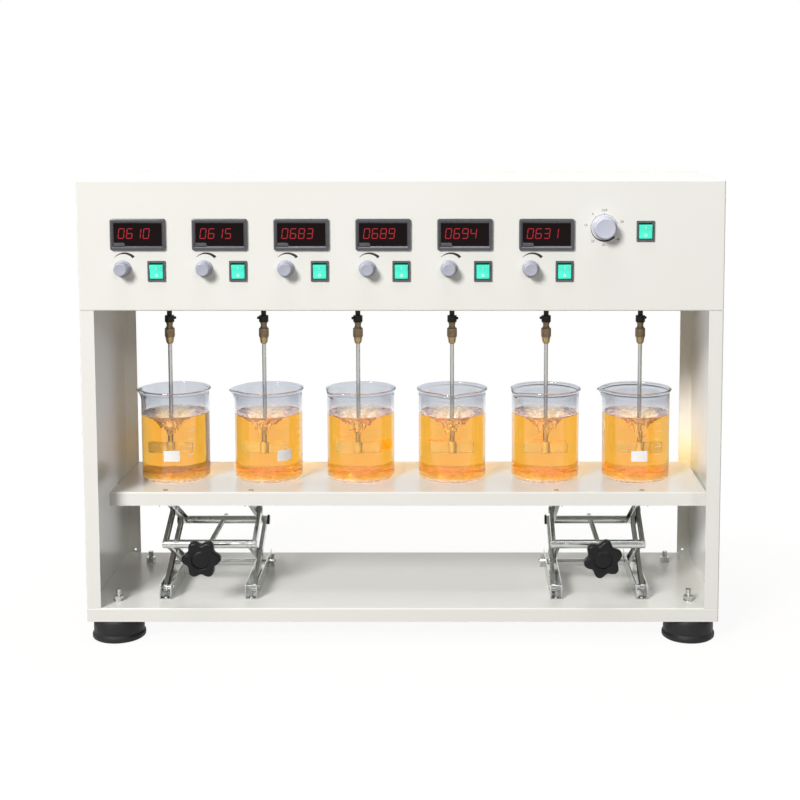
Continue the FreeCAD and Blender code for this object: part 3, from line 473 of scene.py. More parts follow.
# a piece from a mesh whose points are in metres already
def addPiece(name, mesh, body, material, stands=(), crease=32):
    data = bpy.data.meshes.new(name)
    data.from_pydata([tuple(v) for v in mesh[0]], [], mesh[1])
    work = bmesh.new()
    work.from_mesh(data)
    bmesh.ops.remove_doubles(work, verts=work.verts, dist=1e-6)
    bmesh.ops.recalc_face_normals(work, faces=work.faces)
    work.to_mesh(data)
    work.free()
    data.shade_smooth()
    data.set_sharp_from_angle(angle=math.radians(crease))
    data.materials.append(material)
    piece = bpy.data.objects.new(name, data)
    bpy.context.scene.collection.objects.link(piece)
    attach(piece, body)
    if stands:
        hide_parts(*stands)
    return piece


def middleOf(node):
    low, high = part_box(node)
    return (low + high) / 2


meters = {
    "count": 6, "bezel": (81.0, 46.6), "corner": 3.0, "proud": 4.0, "edge": 0.9, "land": 2.4,
    "window": (70.4, 33.6), "windowDeep": 3.0, "body": (75.0, 41.0, 60.0), "tab": (16.5, 5.0),
    "tabCorner": 2.6, "shown": ["0610", "0615", "0683", "0689", "0694", "0631"],
    "digitHigh": 14.2, "digitWide": 8.0, "digitPitch": 12.2, "stroke": 1.3, "lean": 7.0,
    "firstDigit": 11.2, "digitsUp": 1.6, "digitThick": 0.12,
}
segmentsOf = {"0": "abcdef", "1": "bc", "3": "abcdg", "4": "bcfg", "5": "acdfg", "6": "acdefg",
              "8": "abcdefg", "9": "abcdfg"}


def meterPlaces():
    low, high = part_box("meter_cases")
    first = low.x + meters["bezel"][0] / 2 * mm
    last = high.x - meters["bezel"][0] / 2 * mm
    step = (last - first) / (meters["count"] - 1)
    z = (low.z + high.z) / 2
    return [Vector((first + k * step, low.y + meters["proud"] * mm, z)) for k in range(meters["count"])]


def bezelMesh():
    m = meters
    w, h = m["bezel"]
    e = m["edge"]
    ww, wh = m["window"]
    rim = ww + 2 * m["land"], wh + 2 * m["land"]
    loops = [
        roundedLoop(m["body"][0], m["body"][1], 1.0, m["body"][2]),
        roundedLoop(m["body"][0], m["body"][1], 1.0, 0.0),
        roundedLoop(w, h, m["corner"], 0.0),
        roundedLoop(w, h, m["corner"], -m["proud"] + e),
        roundedLoop(w - e * 0.6, h - e * 0.6, m["corner"] - 0.2, -m["proud"] + e * 0.3),
        roundedLoop(w - 2 * e, h - 2 * e, m["corner"] - 0.5, -m["proud"]),
        roundedLoop(rim[0], rim[1], 1.6, -m["proud"]),
        roundedLoop(rim[0] - 0.5, rim[1] - 0.5, 1.4, -m["proud"] + 0.25),
        roundedLoop(ww + 0.1, wh + 0.1, 0.3, -m["proud"] + 2.0),
        roundedLoop(ww + 0.1, wh + 0.1, 0.3, -m["proud"] + m["windowDeep"]),
    ]
    return loft(loops)


# the raised grey corner at the lower left of each window
def tabMesh():
    m = meters
    tw, th = m["tab"]
    r = m["tabCorner"]
    left, low = -m["window"][0] / 2 - 0.2, -m["window"][1] / 2 - 0.2
    outline = [(left, low), (left + tw, low)]
    for step in range(7):
        angle = math.radians(90 * step / 6)
        outline.append((left + tw - r + r * math.cos(angle), low + th - r + r * math.sin(angle)))
    outline.append((left, low + th))
    middle = Vector((left + tw / 2, low + th / 2))
    loops = []
    for y, inset in ((-m["proud"] + 2.2, 0.0), (-m["proud"] + 0.9, 0.0), (-m["proud"] + 0.6, 0.4)):
        loops.append([(x + (middle.x - x) / tw * inset * 2, y, z + (middle.y - z) / th * inset * 2)
                      for x, z in outline])
    return loft(loops)


# a lamp segment: a bar with pointed ends, in the plane y = 0
def segmentMesh(x0, z0, x1, z1, half):
    start, end = Vector((x0, 0, z0)), Vector((x1, 0, z1))
    along = (end - start).normalized()
    across = Vector((-along.z, 0, along.x)) * half
    start, end = start + along * half * 0.25, end - along * half * 0.25
    flat = [start, start + along * half + across, end - along * half + across, end,
            end - along * half - across, start + along * half - across]
    return loft([[tuple(p) for p in flat], [(p.x, -meters["digitThick"], p.z) for p in flat]])


def digitsMesh(text):
    m = meters
    h, w, half = m["digitHigh"] / 2, m["digitWide"] / 2, m["stroke"] / 2
    bars = {"a": (-w, h, w, h), "b": (w, h, w, 0), "c": (w, 0, w, -h), "d": (-w, -h, w, -h),
            "e": (-w, 0, -w, -h), "f": (-w, h, -w, 0), "g": (-w, 0, w, 0)}
    lean = math.tan(math.radians(m["lean"]))
    parts = []
    for place, digit in enumerate(text):
        x = -m["window"][0] / 2 + m["firstDigit"] + place * m["digitPitch"]
        for letter in segmentsOf[digit]:
            verts, faces = segmentMesh(*bars[letter], half)
            parts.append(([(vx + x + vz * lean, vy, vz + m["digitsUp"]) for vx, vy, vz in verts], faces))
    return joined(*parts)


def makeMeters():
    places = meterPlaces()
    bezels = joined(*[placed(bezelMesh(), p) for p in places])
    addPiece("meterBezels", bezels, "frame", bezelGrey, ["meter_cases"])
    tabs = joined(*[placed(tabMesh(), p) for p in places])
    addPiece("meterTabs", tabs, "frame", bezelGrey)
    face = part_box("meter_windows")[0].y
    for k, (text, p) in enumerate(zip(meters["shown"], places)):
        digits = placed(digitsMesh(text), Vector((p.x, face, p.z)))
        addPiece(f"meterDigits{k + 1}", digits, "frame", litRed)


switches = {
    "frame": (26.4, 30.5), "proud": 2.4, "edge": 0.7, "well": (19.7, 23.1), "wellDeep": 17.0,
    "body": (25.7, 29.1, 20.0), "rocker": 19.0, "radius": 11.2, "slope": 9.0, "valley": 2.4,
    "back": 7.0, "turned": 9.0, "markHigh": 4.2, "markWide": 0.8, "markThick": 0.12, "markUp": 5.4,
}


def switchFrameMesh():
    s = switches
    w, h = s["frame"]
    e = s["edge"]
    ww, wh = s["well"]
    loops = [
        roundedLoop(s["body"][0], s["body"][1], 0.6, s["body"][2]),
        roundedLoop(s["body"][0], s["body"][1], 0.6, 0.0),
        roundedLoop(w, h, 0.9, 0.0),
        roundedLoop(w, h, 0.9, -s["proud"] + e),
        roundedLoop(w - e, h - e, 0.8, -s["proud"]),
        roundedLoop(ww + 2.2, wh + 2.2, 0.8, -s["proud"]),
        roundedLoop(ww + 0.4, wh + 0.4, 0.6, -s["proud"] + 1.1),
        roundedLoop(ww, wh, 0.5, -s["proud"] + 1.4),
        roundedLoop(ww, wh, 0.5, s["wellDeep"]),
    ]
    return loft(loops)


# side view swept across: two sloping faces that meet in a soft valley, within a round back
def rockerMesh():
    s = switches
    slope = math.tan(math.radians(s["slope"]))
    outline = []
    steps = 20
    top = math.sqrt(s["radius"] ** 2 - (s["valley"] + slope * s["radius"] * 0.9) ** 2)
    for k in range(steps + 1):
        z = top - 2 * top * k / steps
        out = s["valley"] + slope * math.sqrt(z * z + 1.5)
        edge = (abs(z) / top) ** 12 * 0.8
        outline.append((-(out - edge), z))
    for k in range(1, 12):
        z = -top + 2 * top * k / 12
        outline.append((min(s["back"], math.sqrt(max(0, s["radius"] ** 2 - z * z))), z))
    half = s["rocker"] / 2
    loops = []
    for x, inset in ((-half, 0.5), (-half + 0.25, 0.15), (-half + 0.7, 0.0), (half - 0.7, 0.0),
                     (half - 0.25, 0.15), (half, 0.5)):
        loops.append([(x, y + (inset if y < 0 else -inset), z * (1 - inset / s["radius"]))
                      for y, z in outline])
    return loft(loops)


# the line or the ring on a rocker's face, lying on its slope
def markOnRocker(z, circle):
    s = switches
    slope = math.tan(math.radians(s["slope"]))
    high, thick, lift = s["markHigh"], s["markWide"], s["markThick"]

    def onFace(x, dz, up):
        away = z + dz
        return (x, -(s["valley"] + slope * math.sqrt(away * away + 1.5)) - up, away)

    loops = []
    if circle:
        steps = 28
        turns = [2 * math.pi * k / steps for k in range(steps)]
        for up, r in ((-0.1, high / 2), (lift, high / 2), (lift, high / 2 - thick), (-0.1, high / 2 - thick)):
            loops.append([onFace(r * math.cos(turn), r * math.sin(turn), up) for turn in turns])
        return loft(loops + [loops[0]], False, False)
    corners = ((1, 1), (-1, 1), (-1, -1), (1, -1))
    for up in (-0.1, lift):
        loops.append([onFace(thick / 2 * sx, high / 2 * sz, up) for sx, sz in corners])
    return loft(loops)


def makeSwitches():
    names = [f"rocker_{k}" for k in range(1, 7)] + ["power_rocker"]
    joints = {joint["child"]: joint for joint in frame["joints"]}
    tilt = Matrix.Rotation(math.radians(switches["turned"]), 4, "X")
    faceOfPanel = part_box("meter_cases")[0].y + meters["proud"] * mm
    frames = []
    for name in names:
        pivot = Vector(joints[name]["pos_m"])
        frames.append(placed(switchFrameMesh(), Vector((pivot.x, faceOfPanel, pivot.z))))
        addPiece(name + "Lens", placed(rockerMesh(), pivot, tilt), name, greenLens, [name])
        marks = joined(markOnRocker(switches["markUp"], False), markOnRocker(-switches["markUp"], True))
        addPiece(name + "Marks", placed(marks, pivot, tilt), name, enamel)
    addPiece("switchFrames", joined(*frames), "frame", darkAbs, ["switch_frames"])


knobs = {
    "speedBase": 12.4, "speedCap": 9.7, "timerBase": 17.8, "timerCap": 15.2, "skirt": 3.0, "flutes": 36,
    "fluteDeep": 0.28, "pointer": (1.0, 0.35), "gap": 0.8, "firstTurn": 49, "turnStep": 9,
}


# a tapered, fluted cap on a plain skirt. Height 0 is the panel's side
def knobMesh(base, cap, proud):
    k = knobs
    outline = [
        (0, 0), (base - 0.5, 0), (base, 0.5), (base, k["skirt"] - 0.5), (base - 0.5, k["skirt"]),
        (cap + 0.9, k["skirt"] + 0.5), (cap + 0.7, k["skirt"] + 2.0), (cap, proud - 2.4),
        (cap - 0.15, proud - 1.2), (cap - 0.5, proud - 0.5), (cap - 1.2, proud - 0.1), (cap - 2.0, proud),
        (cap - 3.0, proud - 0.25), (cap * 0.4, proud - 0.35), (0, proud - 0.38),
    ]

    def fluted(radius, height, angle):
        if not k["skirt"] + 1.0 < height < proud - 0.8:
            return radius
        return radius - k["fluteDeep"] * (0.5 - 0.5 * math.cos(k["flutes"] * angle))

    return lathe(outline, k["flutes"] * 6, fluted)


# a raised line on the cap's face
def pointerMesh(cap, proud, turn):
    wide, high = knobs["pointer"]
    spots = [(-wide / 2, cap * 0.45), (wide / 2, cap * 0.45), (wide / 2, cap - 2.2), (-wide / 2, cap - 2.2)]
    loops = [[(x, y, proud - 0.5) for x, y in spots], [(x * 0.7, y, proud - 0.38 + high) for x, y in spots]]
    verts, faces = loft(loops)
    spin = Matrix.Rotation(math.radians(turn), 4, "Z")
    return [tuple(spin @ Vector(v)) for v in verts], faces


def makeKnobs():
    turns = [knobs["firstTurn"] + knobs["turnStep"] * k for k in range(6)]
    sizes = [(f"speed_knob_{k + 1}", "speed", turn, shadedSpeedKnobGrey) for k, turn in enumerate(turns)]
    sizes.append(("timer_knob", "timer", 0, timerGrey))
    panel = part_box("meter_cases")[0].y + meters["proud"] * mm
    for name, kind, turn, finish in sizes:
        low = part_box(name)[0]
        base, cap = knobs[kind + "Base"], knobs[kind + "Cap"]
        middle = middleOf(name)
        start = Vector((middle.x, panel - knobs["gap"] * mm, middle.z))
        proud = (start.y - low.y) / mm
        mesh = joined(knobMesh(base, cap, proud), pointerMesh(cap, proud, turn))
        addPiece(name + "Cap", placed(mesh, start, towardsFront), name, finish, [name])


prints = {
    "arcRadius": 19.2, "arcFrom": 137.0, "arcTo": 43.0, "arcThin": 0.5, "arcThick": 4.4, "arcUp": 3.2,
    "arcRight": 2.5, "high": 0.06, "ringRadius": 19.6, "tickLong": 2.0, "tickHalf": 0.3,
    "numberOut": 25.5, "numberHigh": 3.8, "fontShare": 1.35, "numberSpread": 1.08,
    "ringArcs": [(175, 318, 0.5, 3.0), (172, 20, 0.4, 0.4)],
    "dial": [("OFF", 90), ("0", 128), ("10", 172), ("20", 232), ("30", 268), ("40", 318), ("50", 20)],
}


# a printed arc that grows thicker along its way, in the XZ plane, standing out towards the front
def taperedArc(radius, fromAngle, toAngle, thin, thick, steps=28):
    inner, outer = [], []
    for k in range(steps + 1):
        share = k / steps
        angle = math.radians(fromAngle + (toAngle - fromAngle) * share)
        half = (thin + (thick - thin) * share) / 2
        for points, r in ((inner, radius - half), (outer, radius + half)):
            points.append((r * math.cos(angle), r * math.sin(angle)))
    outline = inner + outer[::-1]
    count = len(outline)
    verts = [(x, 0, z) for x, z in outline] + [(x, -prints["high"], z) for x, z in outline]
    faces = []
    for k in range(count):
        n = (k + 1) % count
        faces.append((k, n, n + count, k + count))
    for k in range(steps):  # strips, since the outline is hollow
        a, b = k, k + 1
        c, d = count - 1 - k, count - 2 - k
        faces.append((a, b, d, c))
        faces.append((a + count, c + count, d + count, b + count))
    return verts, faces


# small printed characters on the panel, made into a mesh
def printedText(name, text, where, high):
    curve = bpy.data.curves.new(name, "FONT")
    curve.body = text
    curve.size = high * mm * prints["fontShare"]
    curve.align_x = "CENTER"
    curve.align_y = "CENTER"
    curve.extrude = prints["high"] / 2 * mm
    curve.resolution_u = 3
    holder = bpy.data.objects.new(name + "Outline", curve)
    bpy.context.scene.collection.objects.link(holder)
    bpy.context.view_layer.update()
    data = bpy.data.meshes.new_from_object(holder.evaluated_get(bpy.context.evaluated_depsgraph_get()))
    bpy.data.objects.remove(holder)
    matrix = Matrix.Translation(where) @ towardsFront
    return [tuple(matrix @ v.co) for v in data.vertices], [tuple(p.vertices) for p in data.polygons]


def makePrints():
    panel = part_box("meter_cases")[0].y + meters["proud"] * mm
    arcs = []
    for k in range(1, 7):
        middle = middleOf(f"speed_knob_{k}")
        where = Vector((middle.x + prints["arcRight"] * mm, panel, middle.z + prints["arcUp"] * mm))
        arc = taperedArc(prints["arcRadius"], prints["arcFrom"], prints["arcTo"], prints["arcThin"],
                         prints["arcThick"])
        arcs.append(placed(arc, where))
    addPiece("speedArcs", joined(*arcs), "frame", ink)
    middle = middleOf("timer_knob")
    where = Vector((middle.x, panel, middle.z))
    ring = [placed(taperedArc(prints["ringRadius"], *arc), where) for arc in prints["ringArcs"]]
    for _, angle in prints["dial"]:
        out = math.radians(angle)
        long, half = prints["tickLong"], prints["tickHalf"]
        start = prints["ringRadius"] - 0.2
        along = Vector((math.cos(out), 0, math.sin(out)))
        across = Vector((-math.sin(out), 0, math.cos(out)))
        flat = [along * start + across * half, along * (start + long) + across * half,
                along * (start + long) - across * half, along * start - across * half]
        tick = loft([[tuple(p) for p in flat], [(p.x, -prints["high"], p.z) for p in flat]])
        ring.append(placed(tick, where))
    addPiece("timerScale", joined(*ring), "frame", ink)
    numbers = []
    for text, angle in prints["dial"]:
        out = math.radians(angle)
        away = Vector((math.cos(out) * prints["numberSpread"], 0, math.sin(out)))
        spot = where + away * prints["numberOut"] * mm
        numbers.append(printedText("dialNumber", text, spot, prints["numberHigh"]))
    addPiece("timerNumbers", joined(*numbers), "frame", ink)


stirrers = {
    "shaft": 4.0, "collar": 7.4, "collarLong": 10.5, "collarEdge": 0.5, "screwUp": 6.5, "screwRadius": 2.2,
    "screwReach": 10.2, "screwTurns": [12, 180, 205, 335, 180, 20], "neck": 5.6, "neckLong": 9.0,
    "sleeve": 7.8, "sleeveLong": 14.5, "nose": 4.6, "noseLong": 10.5, "rod": 3.25, "belowHeader": 36.0,
    "paddleUp": 42.0, "paddle": (56.0, 18.0, 2.0), "hub": 5.5, "knurls": 40, "knurlDeep": 0.22,
}


# a flat blade with round corners on a hub
def paddleMesh():
    wide, high, thick = stirrers["paddle"]
    loops = []
    for y, inset in ((thick / 2, 0.4), (thick / 2 - 0.4, 0.0), (-thick / 2 + 0.4, 0.0), (-thick / 2, 0.4)):
        loops.append(roundedLoop(wide - 2 * inset, high - 2 * inset, 3.0, y))
    blade = loft(loops)
    hub = stirrers["hub"]
    barrel = lathe([(0, -high / 2), (hub - 0.5, -high / 2), (hub, -high / 2 + 0.5), (hub, high / 2 - 0.5),
                    (hub - 0.5, high / 2), (0, high / 2)], 32)
    return joined(blade, barrel)


def makeStirrers():
    s = stirrers
    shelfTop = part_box("beaker_1")[0].z
    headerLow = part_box("header_cover")[0].z
    for k in range(1, 7):
        name = f"stirrer_{k}"
        joint = next(j for j in frame["joints"] if j["child"] == name)
        x, y = joint["pos_m"][0], joint["pos_m"][1]
        foot = headerLow - s["belowHeader"] * mm  # the shaft's lower end
        length = (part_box(name)[1].z - foot) / mm
        c = s["collar"]
        where = Vector((x, y, foot))
        shaft = lathe([(0, 0), (s["shaft"], 0), (s["shaft"], length - 0.5), (s["shaft"] - 0.5, length),
                       (0, length)], 32)
        addPiece(name + "Shaft", placed(shaft, where), name, blackOxide, [name])
        e = s["collarEdge"]
        ring = lathe([(s["shaft"], 0), (c - e, 0), (c, e), (c, s["collarLong"] - e), (c - e, s["collarLong"]),
                      (s["shaft"], s["collarLong"])], 48)
        turn = math.radians(s["screwTurns"][k - 1])
        reach = s["screwReach"]
        r = s["screwRadius"]
        screw = lathe([(0, c - 2), (r, c - 2), (r, reach - 0.4), (r - 0.4, reach), (r * 0.45, reach),
                       (r * 0.45, reach - 1.2), (0, reach - 1.2)], 24)
        level = Matrix.Rotation(turn, 4, "Z") @ Matrix.Rotation(math.radians(90), 4, "Y")
        screwWhere = Vector((x, y, foot + s["screwUp"] * mm))
        collar = joined(placed(ring, where), placed(screw, screwWhere, level))
        addPiece(name + "Collar", collar, name, blackOxide)
        neck, sleeve, nose = s["neckLong"], s["sleeveLong"], s["noseLong"]

        def knurled(radius, height, angle):
            inside = -neck - sleeve + 2.0 < height < -neck - 2.5
            return radius - (s["knurlDeep"] * (0.5 + 0.5 * math.cos(s["knurls"] * angle)) if inside else 0)

        upper = lathe([
            (0, 0), (s["neck"] - 0.4, 0), (s["neck"], -0.4), (s["neck"], -2.6), (s["neck"] - 0.7, -3.2),
            (s["neck"] - 0.7, -neck + 2.4), (s["neck"], -neck + 1.4), (s["neck"] + 0.2, -neck),
            (s["sleeve"] - 0.6, -neck - 0.3), (s["sleeve"], -neck - 1.2), (s["sleeve"], -neck - 2.6),
            (s["sleeve"], -neck - 5.0), (s["sleeve"], -neck - sleeve + 2.1),
            (s["sleeve"], -neck - sleeve + 0.8), (s["sleeve"] - 0.5, -neck - sleeve), (0, -neck - sleeve)],
            s["knurls"] * 4, knurled)
        addPiece(name + "ChuckSleeve", placed(upper, where), name, browned)
        drop = -neck - sleeve
        lower = lathe([(0, drop), (s["sleeve"] - 0.9, drop), (s["sleeve"] - 1.0, drop - 1.4),
                       (s["nose"] + 1.0, drop - nose + 2.2), (s["nose"] + 0.2, drop - nose + 0.6),
                       (s["nose"] - 0.4, drop - nose), (0, drop - nose)], 48)
        addPiece(name + "ChuckNose", placed(lower, where), name, brass)
        bottom = shelfTop + s["paddleUp"] * mm
        rodLong = (foot - bottom) / mm + drop - nose + 2.0
        stem = lathe([(0, 0), (s["rod"] - 0.4, 0), (s["rod"], 0.4), (s["rod"], rodLong), (0, rodLong)], 32)
        addPiece(name + "Rod", placed(stem, Vector((x, y, bottom))), name, stainless)
        blade = placed(paddleMesh(), Vector((x, y, bottom + s["paddle"][1] / 2 * mm)))
        addPiece(name + "Paddle", blade, name, blasted)


beakers = {
    "radius": 53.0, "wall": 1.9, "floor": 3.0, "heel": 7.0, "high": 143.0, "flare": 2.6, "bead": 1.7,
    "spoutReach": 6.0, "spoutHalfTurn": 15.0, "spoutDrop": 19.0, "spoutSink": 1.6,
    "spoutTurns": [180, 186, 222, 268, 214, 178], "level": 104.0, "vortexDeep": 36.0, "vortexWide": 15.0,
    "ripple": 0.6, "swirl": 0.9, "meniscus": 1.4, "turns": 144,
    "lobes": 0.16, "swirlShare": 0.3, "frothShare": 0.5, "printSink": 0.04, "printThick": 0.1,
    "patchTurns": [-87, -55, 70, 96, 84, -90], "patch": (25.0, 17.0, 36.0),
    "lineStep": 12.2, "firstLine": 30.0, "lineLong": (9.0, 14.0), "lineTurn": 28, "lineThick": 0.7,
}


# how far a wall point moves outwards, and the rim down, near the pouring lip
def spoutPush(height, angle, spout):
    b = beakers
    away = (angle - spout + math.pi) % (2 * math.pi) - math.pi
    near = math.exp(-(away / math.radians(b["spoutHalfTurn"])) ** 2)
    rise = smoothstep((height - (b["high"] - b["spoutDrop"])) / b["spoutDrop"])
    pinch = math.exp(-((abs(away) - math.radians(b["spoutHalfTurn"] * 2)) / math.radians(10)) ** 2)
    return rise * (near * b["spoutReach"] - pinch), rise * near * b["spoutSink"]


def beakerMesh(k):
    b = beakers
    r, w, h, heel = b["radius"], b["wall"], b["high"], b["heel"]
    spout = math.radians(b["spoutTurns"][k])
    outline = [(0, 0.4), (r - heel - 6, 0.25), (r - heel, 0.0)]
    for step in range(1, 8):
        angle = math.radians(90 * step / 7)
        outline.append((r - heel + heel * math.sin(angle), heel - heel * math.cos(angle)))
    for height in (20, 40, 60, 80, 100, 112, 120, 126, 130, 134):
        outline.append((r, height))
    flare = b["flare"]
    bead = b["bead"]
    for share in (0.25, 0.5, 0.75):
        outline.append((r + flare * share ** 2, h - 8 + 6.0 * share))
    for step in range(9):  # the rolled rim
        angle = math.radians(-50 + 230 * step / 8)
        outline.append((r + flare - bead + bead * math.cos(angle), h - bead + bead * math.sin(angle)))
    inner = r - w
    outline += [(inner + flare * 0.3, h - 5.5), (inner + flare * 0.1, h - 8), (inner, h - 11)]
    for height in (130, 124, 118, 110, 100, 80, 60, 40, 20):
        outline.append((inner, height))
    small = heel - w
    for step in range(0, 7):
        angle = math.radians(90 - 90 * step / 6)
        outline.append((inner - small + small * math.sin(angle),
                        b["floor"] + small - small * math.cos(angle)))
    outline += [(inner - small - 12, b["floor"] - 0.1), (0, b["floor"])]
    verts, faces = lathe(outline, b["turns"])
    shaped = []
    for x, y, z in verts:
        radius = math.hypot(x, y)
        if radius < 1:
            shaped.append((x, y, z))
            continue
        angle = math.atan2(y, x)
        out, down = spoutPush(z, angle, spout)
        shaped.append(((radius + out) * math.cos(angle), (radius + out) * math.sin(angle), z - down))
    return shaped, faces


# liquid that meets the glass, with a stirred hollow round the rod. rodAway is the rod's place in mm
def liquidMesh(k, rodAway):
    b = beakers
    fit = 0.25  # it reaches a little into the glass, so that no air shows between
    inner = b["radius"] - b["wall"] + fit
    small = b["heel"] - b["wall"]
    floor = b["floor"] - fit
    outline = [(0, floor), (inner * 0.5, floor), (inner - small, floor)]
    for step in range(1, 7):
        angle = math.radians(90 * step / 6)
        outline.append((inner - small + small * math.sin(angle), floor + small - small * math.cos(angle)))
    for height in (20, 40, 60, 80, b["level"] - 3):
        outline.append((inner, height))
    start = len(outline)
    rings = [inner * (1 - (i / 34) ** 0.85) for i in range(0, 34)]
    outline += [(ring, b["level"]) for ring in rings] + [(0, b["level"])]
    turns = 120
    verts, faces = lathe(outline, turns)
    count = 0
    shaped = []
    perRow = [1 if radius == 0 else turns for radius, _ in outline]
    for row, amount in enumerate(perRow):
        for _ in range(amount):
            x, y, z = verts[count]
            count += 1
            if row >= start:
                wall = math.hypot(x, y) / inner
                # the surface's rings slide towards the rod as they shrink
                x += rodAway[0] * (1 - wall)
                y += rodAway[1] * (1 - wall)
                dx, dy = x - rodAway[0], y - rodAway[1]
                away = math.hypot(dx, dy)
                turn = math.atan2(dy, dx)
                swirl = noise.noise(Vector((dx * 0.09, dy * 0.09, k * 7.3)))
                funnel = math.exp(-(away / b["vortexWide"]) ** 1.25)
                froth = noise.noise(Vector((dx * 0.3, dy * 0.3, k * 3.1)))
                ragged = 1 + b["lobes"] * math.sin(3 * turn + away * 0.35 + k)
                ragged += b["swirlShare"] * swirl
                ragged += b["frothShare"] * froth
                wave = math.sin(away * 0.42 - 2 * turn + k * 1.7)
                ripple = b["ripple"] * wave * smoothstep(away / 20) * (1 - wall)
                climb = b["meniscus"] * math.exp(-(1 - wall) * 30)
                z = b["level"] + climb + ripple + b["swirl"] * swirl * (1 - wall)
                z -= b["vortexDeep"] * funnel * ragged
            shaped.append((x, y, z))
    return shaped, faces


# a thin printed patch that lies on the glass
def curvedPatch(middleTurn, wide, low, high, radius):
    steps = max(2, int(wide / 1.5))
    loops = []
    for r in (radius - beakers["printSink"], radius + beakers["printThick"]):
        points = []
        for k in range(steps + 1):
            points.append((k / steps, low))
        for k in range(steps + 1):
            points.append((1 - k / steps, high))
        ring = []
        for share, z in points:
            angle = math.radians(middleTurn) + (share - 0.5) * wide / radius
            ring.append((r * math.cos(angle), r * math.sin(angle), z))
        loops.append(ring)
    verts, faces = loft(loops, False, False)
    count = 2 * (steps + 1)
    for layer in (0, count):  # both faces, as strips
        for k in range(steps):
            faces.append((layer + k, layer + k + 1, layer + count - 2 - k, layer + count - 1 - k))
    return verts, faces


def printsOnBeaker(k):
    b = beakers
    turn = b["patchTurns"][k]
    wide, high, low = b["patch"]
    r = b["radius"]
    marks = [curvedPatch(turn, wide, low, low + high, r)]
    perMm = 180 / math.pi / r
    for step in range(1, 6):  # a line at each 100 ml, longer at each 200
        z = b["floor"] + b["lineStep"] * step + b["firstLine"]
        long = b["lineLong"][(step + 1) % 2]
        marks.append(curvedPatch(turn + b["lineTurn"] + long / 2 * perMm, long, z, z + b["lineThick"], r))
    return joined(*marks)


def makeBeakers():
    for k in range(6):
        name = f"beaker_{k + 1}"
        joint = next(j for j in frame["joints"] if j["child"] == f"stirrer_{k + 1}")
        where = beakerMiddle(k)
        wall = placed(beakerMesh(k), where)
        addPiece(name + "Glass", wall, name, glass, [name], 60)
        away = ((joint["pos_m"][0] - where.x) / mm, (joint["pos_m"][1] - where.y) / mm)
        liquid = placed(liquidMesh(k, away), where)
        addPiece(name + "Liquid", liquid, name, amber, (), 60)
        addPiece(name + "Print", placed(printsOnBeaker(k), where), name, enamel)


# the middle of a beaker's wall, from the points of its lowest part, where no lip stands out
def beakerMiddle(k):
    name = f"beaker_{k + 1}"
    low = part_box(name)[0]
    spots = [v.co for v in nodes[name].data.vertices if v.co.z < low.z + 20 * mm]
    return Vector(((min(p.x for p in spots) + max(p.x for p in spots)) / 2,
                   (min(p.y for p in spots) + max(p.y for p in spots)) / 2, low.z))


jacks = {
    "knobRadius": 29.3, "wave": 2.95, "lobes": 6, "thick": 15.0, "hub": 10.5, "hubLong": 8.0, "recess": 14.0,
    "recessDeep": 2.0, "screw": 4.0, "pitch": 2.0, "thread": 0.55, "collar": 6.5, "collarLong": 4.0,
    "knobTurns": {"left": 0.0, "right": 17.0}, "bar": 6.5, "cap": 7.8, "capLong": 3.0, "capEdge": 0.7,
    "collarGap": 0.2, "steps": 144,
}


def starRadius(angle, inset):
    j = jacks
    wave = math.cos(j["lobes"] * angle)
    return j["knobRadius"] - j["wave"] * (1 - wave) ** 1.15 - inset


# the knob from its back (0) to its face, with height towards the front
def starKnobMesh():
    j = jacks
    t, rim, back = j["thick"], j["recess"], -j["hubLong"]
    rings = [  # (inset from the star's outline, radius, height), with one of the first two
        (None, 0.0, back), (None, j["hub"] - 0.6, back), (None, j["hub"], back + 0.6),
        (None, j["hub"], 0.0), (6.0, None, 0.0), (2.2, None, 0.25), (0.7, None, 1.0), (0.0, None, 2.8),
        (0.0, None, t - 4.6), (0.35, None, t - 2.8), (1.3, None, t - 1.3), (2.9, None, t - 0.35),
        (5.0, None, t), (None, rim + 1.2, t), (None, rim + 0.3, t - 0.4), (None, rim, t - j["recessDeep"]),
        (None, rim - 1.2, t - j["recessDeep"]), (None, rim - 2.4, t - 1.1), (None, rim * 0.5, t - 0.9),
        (None, 0.0, t - 0.8),
    ]

    def shape(radius, height, angle):
        inset = insetOf.get((round(radius, 4), round(height, 4)))
        return radius if inset is None else starRadius(angle, inset)

    outline, insetOf = [], {}
    for inset, radius, height in rings:
        spot = j["knobRadius"] - inset if radius is None else radius
        if inset is not None:
            insetOf[(round(spot, 4), round(height, 4))] = inset
        outline.append((spot, height))
    return lathe(outline, j["steps"], shape)


# a screw with a real helix, along Z
def threadedRod(length, radius, pitch, deep):
    around, perPitch = 20, 5
    rows = int(length / pitch * perPitch)
    verts, faces = [], []
    for row in range(rows + 1):
        z = length * row / rows
        for k in range(around):
            phase = (z / pitch - k / around) % 1.0
            edge = min(1.0, z / 1.5, (length - z) / 1.5)
            r = radius - deep * abs(2 * phase - 1) - (1 - edge) * deep
            angle = 2 * math.pi * k / around
            verts.append((r * math.cos(angle), r * math.sin(angle), z))
    for row in range(rows):
        for k in range(around):
            n = (k + 1) % around
            a = row * around
            faces.append((a + k, a + n, a + around + n, a + around + k))
    faces.append(tuple(range(around)))
    faces.append(tuple(range(rows * around, (rows + 1) * around)))
    return verts, faces


